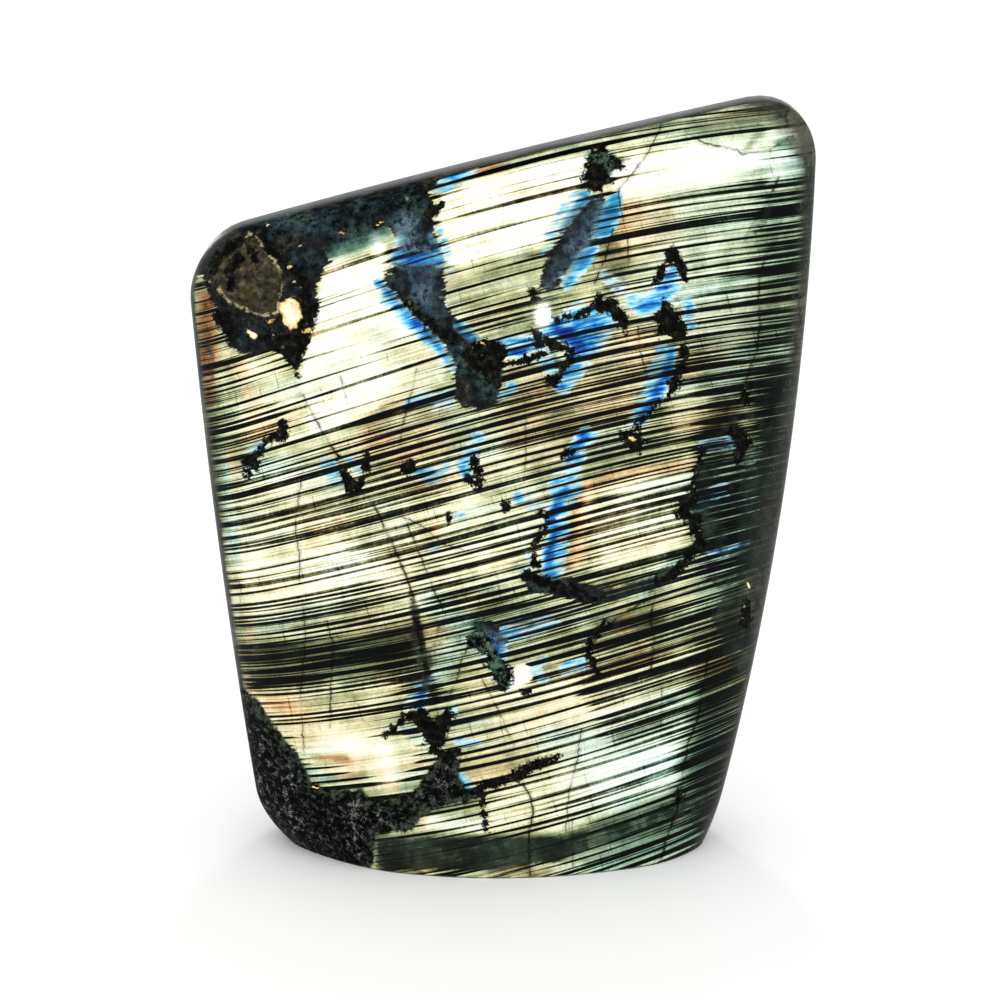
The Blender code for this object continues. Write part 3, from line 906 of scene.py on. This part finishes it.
def vertex_normals(mesh):
    normals = np.empty(len(mesh.vertices) * 3, np.float32)
    mesh.vertices.foreach_get("normal", normals)
    return normals.reshape(-1, 3)


def store(mesh, name, *columns):
    layer = mesh.attributes.new(name, "FLOAT_VECTOR", "POINT")
    layer.data.foreach_set("vector", np.stack(columns, axis=1).astype(np.float32).ravel())


def facing_photo(points, normals):
    """How squarely each point of the surface faces the photograph's camera."""
    to_camera = np.array(CAMERA_TARGET) - CAMERA_DISTANCE * camera_axes()[2] - points
    to_camera /= np.linalg.norm(to_camera, axis=1)[:, None]
    return (normals * to_camera).sum(axis=1)


def fields(x, y, lit, blends, shapes, cracks):
    """All the painted fields of one side of the stone."""
    field = {name: blended(x, y, start, strokes) for name, (start, strokes) in blends.items()}
    field.update({name: nearest(x, y, outlines) for name, outlines in shapes.items()})
    field["lit"] *= lit
    field["side"], field["away"], field["wide"] = crack_places(x, y, cracks)
    return field


def lit_share(points, normals):
    """How far each point shows the painted flash, a reflection from the lamellae: it fades as the
    surface turns from the camera.
    """
    facing = facing_photo(points, normals)
    right = points[:, 0] > 0
    on_top = normals[:, 2] > 0.5
    foot = (right * smooth_step(*RIGHT_FOOT, points[:, 2]))[:, None]
    front = np.where(right[:, None], LIT_ON_RIGHT, LIT_ON_LEFT)
    front = front + foot * np.subtract(LIT_ON_RIGHT_FOOT, LIT_ON_RIGHT)
    top = np.where(right[:, None], LIT_ON_TOP_RIGHT, LIT_ON_TOP_LEFT)
    dim, bright = np.where(on_top[:, None], top, front).T
    return smooth_step(0, 1, (facing - dim) / (bright - dim))


def paint(mesh, points):
    """Store the painted fields on the mesh, three to an attribute."""
    x, y = photo_pixels(points)
    normals = vertex_normals(mesh)
    front = fields(x, y, lit_share(points, normals), FRONT_BLENDS, FRONT_SHAPES, CRACKS)
    behind_x = BEHIND_ORIGIN[0] - points[:, 0] / PIXEL
    behind_y = BEHIND_ORIGIN[1] - points[:, 2] / PIXEL
    # The back's painted flash shows only where its surface faces backwards.
    back_lit = smooth_step(*BACK_FADES, normals[:, 1])
    back = fields(behind_x, behind_y, back_lit, BACK_BLENDS, BACK_SHAPES, BACK_CRACKS)
    behind = smooth_step(*BACK_BEGINS, normals[:, 1])
    field = {name: front[name] + behind * (back[name] - front[name]) for name in front}
    along, across = lamella_places(x, y)
    depth = points[:, 1] / PIXEL
    store(mesh, "lamella", along, across + LAMELLA_DIP * depth, depth)
    store(mesh, "flash", field["tone"], field["copper"], field["teal"])
    store(mesh, "cover", field["crowd"], field["blue"], field["lit"])
    store(mesh, "gaps", field["slate"], field["dark"], field["grain"])
    store(mesh, "spots", field["brown"], field["spots"], field["murk"])
    store(mesh, "cracks", field["side"], field["away"], field["wide"])


# ================================================================ shader graph helpers
def colour(code):
    """A linear colour from its hexadecimal sRGB code."""
    parts = [int(code[i : i + 2], 16) / 255 for i in (1, 3, 5)]
    line = [p / 12.92 if p <= 0.04045 else ((p + 0.055) / 1.055) ** 2.4 for p in parts]
    return (*line, 1.0)


class Graph:
    """Short names for the shader nodes used below. Most methods return an output socket."""

    def __init__(self, tree):
        self.tree = tree

    def node(self, kind, **settings):
        made = self.tree.nodes.new(kind)
        for name, value in settings.items():
            setattr(made, name, value)
        return made

    def plug(self, socket, value):
        if isinstance(value, bpy.types.NodeSocket):
            self.tree.links.new(value, socket)
        else:
            socket.default_value = value

    def math(self, operation, *values, clamp=False):
        node = self.node("ShaderNodeMath", operation=operation, use_clamp=clamp)
        for socket, value in zip(node.inputs, values):
            self.plug(socket, value)
        return node.outputs[0]

    def add(self, a, b):
        return self.math("ADD", a, b)

    def times(self, a, b):
        return self.math("MULTIPLY", a, b)

    def greatest(self, a, b):
        return self.math("MAXIMUM", a, b)

    def centred(self, noise):
        """A noise from 0 to 1, moved to lie about zero."""
        return self.math("SUBTRACT", noise, 0.5)

    def split(self, vector):
        node = self.node("ShaderNodeSeparateXYZ")
        self.plug(node.inputs[0], vector)
        return node.outputs

    def parts(self, name):
        """The three fields painted on the mesh under this name."""
        return self.split(self.node("ShaderNodeAttribute", attribute_name=name).outputs["Vector"])

    def joined(self, x, y, z=0.0):
        node = self.node("ShaderNodeCombineXYZ")
        for socket, value in zip(node.inputs, (x, y, z)):
            self.plug(socket, value)
        return node.outputs[0]

    def noise(self, place, scale, detail, roughness):
        node = self.node("ShaderNodeTexNoise")
        self.plug(node.inputs["Vector"], place)
        node.inputs["Scale"].default_value = scale
        node.inputs["Detail"].default_value = detail
        node.inputs["Roughness"].default_value = roughness
        return node.outputs["Fac"]

    def cells(self, place, size, output="Color", feature="F1"):
        """Voronoi cells of so many pixels."""
        node = self.node("ShaderNodeTexVoronoi", feature=feature)
        self.plug(node.inputs["Vector"], place)
        node.inputs["Scale"].default_value = 1 / size
        return node.outputs[output]

    def cell_edges(self, place, size):
        return self.cells(place, size, "Distance", "DISTANCE_TO_EDGE")

    def span(self, value, low, high, to_low=0.0, to_high=1.0, smooth=True):
        """Map a value from one range to another, clamped."""
        node = self.node("ShaderNodeMapRange")
        node.interpolation_type = "SMOOTHSTEP" if smooth else "LINEAR"
        for socket, number in zip(node.inputs, (value, low, high, to_low, to_high)):
            self.plug(socket, number)
        return node.outputs[0]

    def mix(self, factor, a, b, blend="MIX"):
        node = self.node("ShaderNodeMix", data_type="RGBA", blend_type=blend)
        self.plug(node.inputs["Factor"], factor)
        self.plug(node.inputs[6], a)
        self.plug(node.inputs[7], b)
        return node.outputs[2]

    def over(self, body, code, value, low, high, most=1.0):
        """Lay a colour over the body: none of it where the value is low, most of it at high."""
        return self.mix(self.span(value, low, high, 0, most), body, colour(code))

    def ramp(self, value, stops):
        node = self.node("ShaderNodeValToRGB")
        self.plug(node.inputs[0], value)
        elements = node.color_ramp.elements
        while len(elements) < len(stops):
            elements.new(0.5)
        for element, (place, code) in zip(elements, stops):
            element.position = place
            element.color = colour(code)
        return node.outputs[0]


# ================================================================ the stone's material
RAMP_TOP = 1.6  # the flash value at the right end of the next three ramps
GOLD = [(0, "#060907"), (0.08, "#161A10"), (0.2, "#4C5132"), (0.34, "#92996C"),
        (0.46, "#C8CC9C"), (0.58, "#F2F0C8"), (0.72, "#FDFDE6"), (0.85, "#FFFFFF")]
COPPERS = [(0, "#070605"), (0.08, "#26180E"), (0.2, "#6C482A"), (0.34, "#B0865A"),
           (0.46, "#E2BA82"), (0.6, "#FBE4B0"), (0.85, "#FFF9E2")]
TEALS = [(0, "#050A08"), (0.08, "#11231C"), (0.2, "#385646"), (0.34, "#789E88"),
         (0.46, "#B4D4C0"), (0.6, "#E4F8EA"), (0.85, "#FAFFFC")]
BLUES = [(0, "#EEFDFF"), (0.26, "#C6F2FA"), (0.46, "#86DAF4"), (0.62, "#3CAAF2"),
         (0.78, "#1E74E4"), (1, "#163E96")]
UNLIT = [(0.3, "#20231F"), (0.45, "#373A33"), (0.6, "#525248"), (0.8, "#777365")]
MURKS = [(0.35, "#0B100E"), (0.5, "#1A221E"), (0.65, "#313A32")]
SLATES = [(0.34, "#39372F"), (0.46, "#1B1F20"), (0.56, "#29363A"), (0.66, "#3A4C44")]
BLUE_SLATES = [(0.38, "#343F44"), (0.5, "#445A6A"), (0.6, "#617C88")]
BROWNS = [(0.34, "#15150F"), (0.5, "#343227"), (0.62, "#5A523E"), (0.74, "#8C8060")]
GRAINS = [(0.4, "#030404"), (0.75, "#141718")]
DARKS = [(0.4, "#040504"), (0.54, "#11120E"), (0.66, "#2A2B22"), (0.8, "#74725A")]
# The spots' tones, gold to white; the whitest also serve as painted glints.
SPOT_AND_GLINT_TONES = [(0.3, "#7A5A22"), (0.42, "#CFA352"), (0.56, "#F6E4A2"), (0.76, "#FFFBE2")]
SAWN_TONES = [(0.3, "#4A4B44"), (0.5, "#6C6B60"), (0.7, "#8B877A")]

# The lamellae, as lines of four sizes: their seed, pitch, length, wander and unevenness, where
# a line starts, how soft its edge is, its strength and how it follows the painted crowding.
LAMELLAE = [
    (0.0, 14.5, 700, 1.2, 2.7, 0.80, 0.16, 1.0, 1.0),
    (7.3, 8.0, 460, 1.4, 3.6, 0.52, 0.30, 1.0, 1.1),
    (13.9, 4.6, 300, 1.6, 4.2, 0.80, 0.5, 0.85, 2.2),
    (21.1, 2.6, 200, 1.4, 4.2, 0.60, 0.8, 0.45, 2.2),
]

SAW_CENTRE = (-260, -900)  # the centre of the blade's arcs, in pixels from the stone's origin
SAW_PITCH = 7  # pixels from one arc to the next
BUMP_STRENGTH = 0.6
BUMP_DISTANCE = 0.0003
COAT_ROUGHNESS = 0.04
COAT_IOR = 1.2


class Places:
    """The coordinates and noises that the textures share, with every size in pixels."""

    def __init__(self, graph):
        self.graph = graph
        scaled = graph.node("ShaderNodeVectorMath", operation="SCALE")
        graph.plug(scaled.inputs[0], graph.node("ShaderNodeTexCoord").outputs["Object"])
        scaled.inputs["Scale"].default_value = 1 / PIXEL
        self.stone = scaled.outputs[0]
        self.along, self.across, self.depth = graph.parts("lamella")
        # These two lie about zero and break up the painted edges.
        self.clots = graph.centred(self.noise(13, 5, 0.66))
        self.spikes = graph.centred(self.streaks(26, 2.6, 3.7, 2.5, 0.6))
        self.fine = self.noise(7, 6, 0.72)
        self.broad = self.noise(34, 3)
        self.pits = self.noise(4.5, 3, 0.7)
        self.specks = graph.cells(self.stone, 3)

    def noise(self, grain, detail, roughness=0.5):
        """Noise of one grain in every direction."""
        return self.graph.noise(self.stone, 1 / grain, detail, roughness)

    def streaks(self, along, across, seed, detail, roughness=0.5):
        """Noise with one grain along the lamellae and another across them."""
        graph = self.graph
        deep = graph.add(graph.times(self.depth, 1 / along), seed)
        place = graph.joined(
            graph.times(self.along, 1 / along), graph.times(self.across, 1 / across), deep
        )
        return graph.noise(place, 1, detail, roughness)


def inside(graph, gap, shift, softness):
    """1 inside a painted patch whose edge is moved by noise, 0 outside."""
    return graph.span(graph.add(gap, shift), softness, -softness)


def stripe_signal(graph, places, crowd):
    """Dark twin lamellae, long tapered streaks, as 0 to 1."""
    groups = places.streaks(170, 48, 5.1, 2)
    crowding = graph.add(
        graph.times(graph.centred(crowd), 2.2), graph.times(graph.centred(groups), 0.6)
    )
    total = None
    for seed, pitch, length, wander, uneven, start, soft, strength, follow in LAMELLAE:
        drift = places.streaks(length, pitch * 3, seed, 1)
        turns = graph.add(graph.times(places.across, 1 / pitch), graph.times(drift, wander))
        wave = graph.math("SINE", graph.times(turns, 2 * np.pi))
        weight = places.streaks(length * 0.6, pitch * 0.9, seed + 2.2, 0)
        weight = graph.times(graph.centred(weight), uneven)
        level = graph.add(graph.add(wave, weight), graph.times(crowding, follow))
        cover = graph.span(level, start, start + soft * 2, 0, strength)
        total = cover if total is None else graph.greatest(total, cover)
    return total


def flash_level(graph, places, stripes, tone, mottle):
    """How bright the flash is, from the painted tone, with its fine unevenness and the stripes."""
    streaks = places.streaks(160, 2.2, 21.0, 1)
    upright = places.streaks(3.0, 46, 4.0, 2, 0.6)
    grit = places.noise(2.6, 2, 0.7)
    level = graph.times(tone, graph.span(mottle, 0.3, 0.7, 0.76, 1.24, smooth=False))
    level = graph.times(level, graph.span(streaks, 0.3, 0.7, 0.78, 1.22, smooth=False))
    level = graph.times(level, graph.span(upright, 0.62, 0.76, 1.0, 0.68))
    level = graph.times(level, graph.span(grit, 0.3, 0.7, 0.9, 1.08, smooth=False))
    level = graph.math("SUBTRACT", level, graph.times(stripes, 0.92))
    return graph.math("MULTIPLY", level, 1 / RAMP_TOP, clamp=True)


def warm_layer(graph, places, level, swing, hues):
    """The gold, copper and sea-green zones."""
    _, copper, teal = graph.parts("flash")
    warm = graph.span(hues, 0.5, 0.68, 0, 0.4)
    cool = graph.span(hues, 0.48, 0.32, 0, 0.4)
    edge = graph.add(places.spikes, swing)
    copper = graph.add(copper, graph.times(edge, graph.span(copper, 0, 0.3, 0, 0.9)))
    copper = graph.math("ADD", copper, warm, clamp=True)
    teal = graph.math("ADD", teal, cool, clamp=True)
    body = graph.mix(copper, graph.ramp(level, GOLD), graph.ramp(level, COPPERS))
    return graph.mix(teal, body, graph.ramp(level, TEALS))


def blue_layer(graph, places, body, stripes, swing, hues):
    """The blue zones, from a pale fringe to a deep core."""
    _, blue, _ = graph.parts("cover")
    ragged = graph.times(places.spikes, graph.span(blue, 0, 0.2, 0, 1.5))
    blue = graph.add(blue, ragged)
    torn = graph.times(graph.add(swing, places.clots), graph.span(blue, 0, 0.3, 0, 0.8))
    blue = graph.add(blue, torn)
    play = places.streaks(40, 5.0, 51.0, 3, 0.6)
    played = graph.add(blue, graph.span(play, 0.3, 0.7, -0.46, 0.3, smooth=False))
    dimming = places.streaks(26, 9.0, 61.0, 3, 0.65)
    blues = graph.over(graph.ramp(played, BLUES), "#54C2CC", hues, 0.44, 0.66, 0.4)
    blues = graph.over(blues, "#0C2440", dimming, 0.5, 0.72, 0.5)
    blues = graph.mix(stripes, blues, colour("#060A10"))
    return graph.mix(graph.span(blue, 0.06, 0.3), body, blues)


def flash_colour(graph, places, stripes):
    """The banded flash: gold, copper, sea-green and blue zones under dark lamellae."""
    tone, _, _ = graph.parts("flash")
    _, _, murk = graph.parts("spots")
    mottle = places.noise(30, 6, 0.65)
    swing = graph.centred(mottle)
    hues = places.streaks(90, 34, 31.0, 3)
    level = flash_level(graph, places, stripes, tone, mottle)
    body = warm_layer(graph, places, level, swing, hues)
    body = blue_layer(graph, places, body, stripes, swing, hues)
    cloud = graph.add(graph.times(places.clots, 1.5), graph.times(places.spikes, 0.9))
    cloud = graph.times(cloud, graph.span(murk, 0, 0.2))
    cover = graph.span(graph.add(murk, cloud), 0.35, 0.8)
    return graph.mix(graph.times(cover, 0.88), body, graph.ramp(mottle, MURKS))


def unlit_colour(graph, places, stripes):
    """The grey-green body where the flash doesn't show: cloudy crystals with fine cleavage."""
    clouds = places.noise(60, 9, 0.68)
    shift = graph.times(clouds, 60)
    bent = graph.mix(1.0, places.stone, graph.joined(shift, shift, shift), "ADD")
    shade, grey, _ = graph.split(graph.cells(bent, 70))
    body = graph.ramp(graph.add(clouds, graph.span(shade, 0, 1, -0.08, 0.08)), UNLIT)
    body = graph.over(body, "#35413C", grey, 0.5, 1, 0.5)
    body = graph.mix(graph.times(stripes, 0.5), body, colour("#121612"))
    cleavage = places.streaks(2.2, 60, 9.0, 3, 0.65)
    body = graph.over(body, "#8D8C7C", cleavage, 0.6, 0.76, 0.6)
    body = graph.over(body, "#0E110E", cleavage, 0.38, 0.26, 0.7)
    body = graph.over(body, "#0C0E0C", graph.cell_edges(bent, 70), 0.02, 0.004, 0.6)
    flecks = places.noise(2.4, 2, 0.7)
    body = graph.over(body, "#B4B09A", flecks, 0.68, 0.78, 0.5)
    return graph.over(body, "#080A08", flecks, 0.32, 0.22, 0.7)


def slate_layer(graph, places, body):
    """Dark slate, blue where the flash beside it is, with pits and pale specks."""
    slate, _, _ = graph.parts("gaps")
    _, blue, _ = graph.parts("cover")
    _, _, teal = graph.parts("flash")
    blued = graph.span(blue, 0, 0.4)
    tint = graph.over(graph.ramp(places.broad, SLATES), "#2E5C50", teal, 0.5, 1.0)
    tint = graph.mix(blued, tint, graph.ramp(places.broad, BLUE_SLATES))
    ground = graph.mix(blued, colour("#0A0C0C"), colour("#1C242C"))
    tone = graph.mix(graph.span(places.fine, 0.38, 0.62), ground, tint)
    tone = graph.over(tone, "#84948C", places.fine, 0.6, 0.78, 0.7)
    tone = graph.over(tone, "#06080A", places.pits, 0.4, 0.3, 0.85)
    tone = graph.over(tone, "#D8D2B4", places.specks, 0.95, 0.98, 0.8)
    # Its edge is crisp against the dark ground, and melts away where the flash is blue or teal.
    melting = graph.greatest(graph.span(blue, 0.15, 0.4), graph.span(teal, 0.6, 0.9))
    edge = graph.add(1.2, graph.times(melting, 9))
    shift = graph.add(graph.times(places.clots, 17), graph.times(places.spikes, 14))
    mask = graph.span(graph.add(slate, shift), edge, graph.times(edge, -1))
    mask = graph.times(mask, graph.span(blue, 0.6, 0.95, 1, 0.25))
    return graph.mix(mask, body, tone)


def brown_layer(graph, places, body):
    """The brown grain, with its pits and its broken pale outline."""
    brown, _, _ = graph.parts("spots")
    shift = graph.add(graph.times(places.clots, 12), graph.times(places.spikes, 5))
    edge = graph.add(brown, shift)
    tone = graph.ramp(places.fine, BROWNS)
    tone = graph.over(tone, "#54421F", places.broad, 0.46, 0.62, 0.5)
    tone = graph.over(tone, "#0E0E0A", places.pits, 0.44, 0.3, 0.9)
    body = graph.mix(graph.span(edge, 1, -1), body, tone)
    outline = graph.span(graph.math("ABSOLUTE", graph.add(edge, 1.4)), 2.2, 0.8)
    outline = graph.times(outline, graph.span(places.broad, 0.4, 0.48))
    outline = graph.times(outline, graph.span(places.fine, 0.42, 0.56))
    return graph.mix(outline, body, colour("#B4A67E"))


def grain_layer(graph, places, body):
    """The granular corner: pale flakes in a net over black, with a mossy rim."""
    _, _, grain = graph.parts("gaps")
    bent = graph.mix(0.6, places.stone, graph.cells(places.stone, 5), "ADD")
    wide_net = graph.span(graph.cell_edges(bent, 5.5), 0.08, 0.02)
    fine_net = graph.span(graph.cell_edges(bent, 2.8), 0.1, 0.02, 0, 0.6)
    flakes = graph.greatest(wide_net, fine_net)
    flakes = graph.times(flakes, graph.span(places.fine, 0.48, 0.68, 0.0, 0.9))
    flakes = graph.times(flakes, graph.span(places.broad, 0.42, 0.6, 0.3, 1.0))
    tone = graph.mix(flakes, graph.ramp(places.fine, GRAINS), colour("#B2B0AE"))
    rim = graph.span(graph.add(grain, graph.times(places.clots, 24)), -15, -3, 0, 0.9)
    rim = graph.times(rim, graph.span(places.fine, 0.44, 0.6))
    tone = graph.mix(rim, tone, colour("#3C4838"))
    mask = inside(graph, grain, graph.times(places.clots, 14), 2.0)
    return graph.mix(mask, body, tone), mask


def dark_layer(graph, places, body):
    """The black clumps, frayed at the edge, with moss where the flash is sea-green."""
    _, dark, _ = graph.parts("gaps")
    _, _, teal = graph.parts("flash")
    tone = graph.ramp(places.fine, DARKS)
    mossy = graph.times(graph.span(teal, 0.6, 1.0), graph.span(places.fine, 0.46, 0.6, 0, 0.9))
    tone = graph.mix(mossy, tone, colour("#54705E"))
    tone = graph.over(tone, "#BDB79A", places.specks, 0.9, 0.96, 0.6)
    frayed = graph.times(graph.centred(places.noise(6.5, 5, 0.75)), 22)
    shift = graph.add(graph.add(frayed, -0.8), graph.times(places.clots, 6))
    mask = inside(graph, dark, shift, 1.0)
    return graph.mix(mask, body, tone), mask


def spot_and_glint_layer(graph, places, body):
    """The pale spots, gold at their edges: flecks of the stone, and a few painted glints of light."""
    _, spots, _ = graph.parts("spots")
    worn = graph.times(graph.centred(places.fine), graph.span(spots, 0, 0.3, 0, 1.6))
    spots = graph.add(spots, worn)
    return graph.mix(graph.span(spots, 0.3, 0.42), body, graph.ramp(spots, SPOT_AND_GLINT_TONES))


def crack_mask(graph, places):
    """Dark lines along the painted cracks, with a faint shadow beside them."""
    side, away, wide = graph.parts("cracks")
    jitter = places.noise(6, 4, 0.65)
    moved = graph.add(side, graph.times(graph.centred(jitter), 6.0))
    off_line = graph.math("SUBTRACT", graph.math("ABSOLUTE", moved), wide)
    line = graph.times(graph.span(off_line, 0.5, -0.5), graph.span(away, 5.0, 3.0))
    shadow = graph.times(graph.span(off_line, 3.5, 0), graph.span(away, 6.0, 4.0, 0, 0.3))
    worn = graph.span(places.noise(16, 2), 0.36, 0.56, 0.3, 0.92)
    return graph.times(graph.greatest(line, shadow), worn)


def sawn_base(graph, places, body):
    """The flat base, left as the saw cut it: where it is, its matt colour and the saw's marks."""
    x, y, z = graph.split(places.stone)
    sawn = graph.span(z, 1.5, 0.6)
    # The blade is a disc, so its marks are wide arcs about a far centre.
    reach = graph.node("ShaderNodeVectorMath", operation="LENGTH")
    from_centre = graph.joined(graph.add(x, -SAW_CENTRE[0]), graph.add(y, -SAW_CENTRE[1]))
    graph.plug(reach.inputs[0], from_centre)
    wobble = graph.times(places.noise(50, 2), 2.5)
    turns = graph.add(graph.times(reach.outputs["Value"], 1 / SAW_PITCH), wobble)
    marks = graph.math("SINE", graph.times(turns, 2 * np.pi))
    tone = graph.ramp(places.noise(9, 6, 0.7), SAWN_TONES)
    tone = graph.over(tone, "#A8A496", marks, 0.2, 1.0, 0.35)
    tone = graph.mix(0.3, tone, body)
    return sawn, graph.mix(sawn, body, tone), marks


def relief(graph, places, grain_mask, dark_mask, sawn, marks):
    """Fine relief: pits in the granular and dark inclusions, and the saw's marks on the base."""
    pits = places.noise(3.2, 3, 0.7)
    pitted = graph.greatest(grain_mask, graph.times(dark_mask, 0.7))
    height = graph.add(graph.times(pits, pitted), graph.times(graph.times(marks, 0.25), sawn))
    bump = graph.node("ShaderNodeBump")
    bump.inputs["Strength"].default_value = BUMP_STRENGTH
    bump.inputs["Distance"].default_value = BUMP_DISTANCE
    graph.plug(bump.inputs["Height"], height)
    return bump.outputs["Normal"]


def coat_weight(graph, places, grain_mask, dark_mask, sawn):
    """The polish: half on the faces, growing backwards over the top's front rim, full on the left
    shoulder, less on the inclusions, none on the base."""
    normal_x, _, normal_z = graph.split(graph.node("ShaderNodeNewGeometry").outputs["Normal"])
    _, depth, _ = graph.split(places.stone)
    on_top = graph.span(normal_z, 0.3, 0.8)
    over_rim = graph.span(depth, -26, 24)
    polish = graph.add(graph.span(on_top, 0, 1, 0.5, 0), graph.times(on_top, over_rim))
    shoulder = graph.times(graph.span(normal_x, -0.2, -0.7), graph.span(normal_z, -0.1, 0.4))
    polish = graph.greatest(polish, shoulder)
    polish = graph.times(polish, graph.span(sawn, 0, 1, 1, 0))
    return graph.times(polish, graph.span(graph.greatest(grain_mask, dark_mask), 0, 1, 1, 0.4))


def stone_material():
    material = bpy.data.materials.new("labradorite_flash")
    material.use_nodes = True
    inputs = material.node_tree.nodes["Principled BSDF"].inputs
    graph = Graph(material.node_tree)
    places = Places(graph)
    crowd, _, lit = graph.parts("cover")
    stripes = stripe_signal(graph, places, crowd)
    ragged = graph.times(graph.add(places.spikes, places.clots), graph.span(lit, 0, 0.25, 0, 0.55))
    lit = graph.span(graph.add(lit, ragged), 0.1, 0.9)
    flash = flash_colour(graph, places, stripes)
    # The flash, a reflection from the lamellae painted into the colour, lies over the body as far as
    # lit shows it.
    body = graph.mix(lit, unlit_colour(graph, places, stripes), flash)
    body = brown_layer(graph, places, slate_layer(graph, places, body))
    body, grain_mask = grain_layer(graph, places, body)
    body, dark_mask = dark_layer(graph, places, body)
    # Pale flecks, and a few painted glints of light.
    body = spot_and_glint_layer(graph, places, body)
    body = graph.mix(crack_mask(graph, places), body, colour("#4A3C12"), "MULTIPLY")
    sawn, body, marks = sawn_base(graph, places, body)
    rough = graph.greatest(graph.span(grain_mask, 0, 1, 0.35, 0.55), graph.times(sawn, 0.8))
    graph.plug(inputs["Base Color"], body)
    graph.plug(inputs["Roughness"], rough)
    graph.plug(inputs["Coat Weight"], coat_weight(graph, places, grain_mask, dark_mask, sawn))
    graph.plug(inputs["Normal"], relief(graph, places, grain_mask, dark_mask, sawn, marks))
    inputs["Specular IOR Level"].default_value = 0.0
    inputs["Coat Roughness"].default_value = COAT_ROUGHNESS
    inputs["Coat IOR"].default_value = COAT_IOR
    return material


# ================================================================ studio
# The lamps that make the reflections: the pixel at which each shows, its width and height in
# metres, and its power in watts. The second makes the short glint on the top rim.
LAMPS = {
    "key_lamp": ((543, 316), (0.0125, 0.0068), 0.07),
    "rim_lamp": ((753, 104), (0.008, 0.2), 0.3),
}
LAMP_DISTANCE = 0.5
FLOOR_SIZE = 6
FLOOR_COLOUR = (0.96, 0.96, 0.96, 1)
FLOOR_ROUGHNESS = 0.9
WHITE = (1, 1, 1, 1)
SKY_FROM = (0, 0.75)  # the sine of the height above the horizon, and the light's strength there
SKY_TO = (0.9, 1.3)


def add_floor():
    bpy.ops.mesh.primitive_plane_add(size=FLOOR_SIZE, location=(0, 0, 0))
    floor = bpy.context.object
    floor.name = "studio_floor"
    material = bpy.data.materials.new("studio_paper")
    material.use_nodes = True
    shader = material.node_tree.nodes["Principled BSDF"]
    shader.inputs["Base Color"].default_value = FLOOR_COLOUR
    shader.inputs["Roughness"].default_value = FLOOR_ROUGHNESS
    shader.inputs["Specular IOR Level"].default_value = 0.0
    floor.data.materials.append(material)


def add_world():
    """An even white surround, a little brighter overhead than at the horizon."""
    world = bpy.data.worlds.new("studio")
    world.use_nodes = True
    bpy.context.scene.world = world
    graph = Graph(world.node_tree)
    background = world.node_tree.nodes["Background"]
    _, _, up = graph.split(graph.node("ShaderNodeTexCoord").outputs["Generated"])
    strength = graph.span(up, SKY_FROM[0], SKY_TO[0], SKY_FROM[1], SKY_TO[1])
    background.inputs["Color"].default_value = WHITE
    graph.plug(background.inputs["Strength"], strength)


def add_camera():
    data = bpy.data.cameras.new("photo_camera")
    data.lens = CAMERA_LENS
    data.sensor_width = SENSOR
    data.clip_start = 0.01
    camera = bpy.data.objects.new("photo_camera", data)
    forward = Vector(camera_axes()[2])
    camera.location = Vector(CAMERA_TARGET) - CAMERA_DISTANCE * forward
    camera.rotation_euler = forward.to_track_quat("-Z", "Y").to_euler()
    bpy.context.scene.collection.objects.link(camera)
    bpy.context.scene.camera = camera
    return camera


def add_lamp(name, place, target, size, power):
    """An elliptical lamp aimed at the target and unseen by the camera itself."""
    data = bpy.data.lights.new(name, "AREA")
    data.shape = "ELLIPSE"
    data.size, data.size_y = size
    data.energy = power
    lamp = bpy.data.objects.new(name, data)
    lamp.location = place
    lamp.rotation_euler = (Vector(target) - Vector(place)).to_track_quat("-Z", "Y").to_euler()
    lamp.visible_camera = False
    bpy.context.scene.collection.objects.link(lamp)


def mirror_way(mesh, points, pixel):
    """The surface point seen at a pixel of the photograph, and where it mirrors the camera to."""
    x, y = photo_pixels(points)
    normals = vertex_normals(mesh)
    unseen = np.where(normals[:, 1] < 0, 0, FAR)
    off = np.hypot(x - pixel[0], y - pixel[1]) + unseen
    found = int(off.argmin())
    place, normal = Vector(points[found]), Vector(normals[found].tolist())
    eye = Vector(CAMERA_TARGET) - CAMERA_DISTANCE * Vector(camera_axes()[2])
    return place, (place - eye).normalized().reflect(normal)


def main():
    bpy.context.scene.view_settings.view_transform = "Standard"
    add_camera()
    mesh, points = make_mesh()
    stone = bpy.data.objects.new("labradorite_stone", mesh)
    bpy.context.scene.collection.objects.link(stone)
    paint(mesh, points)
    mesh.materials.append(stone_material())
    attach(stone, "root")
    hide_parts(NODE)
    add_floor()
    add_world()
    for name, (pixel, size, power) in LAMPS.items():
        place, way = mirror_way(mesh, points, pixel)
        add_lamp(name, place + way * LAMP_DISTANCE, place, size, power)


main()
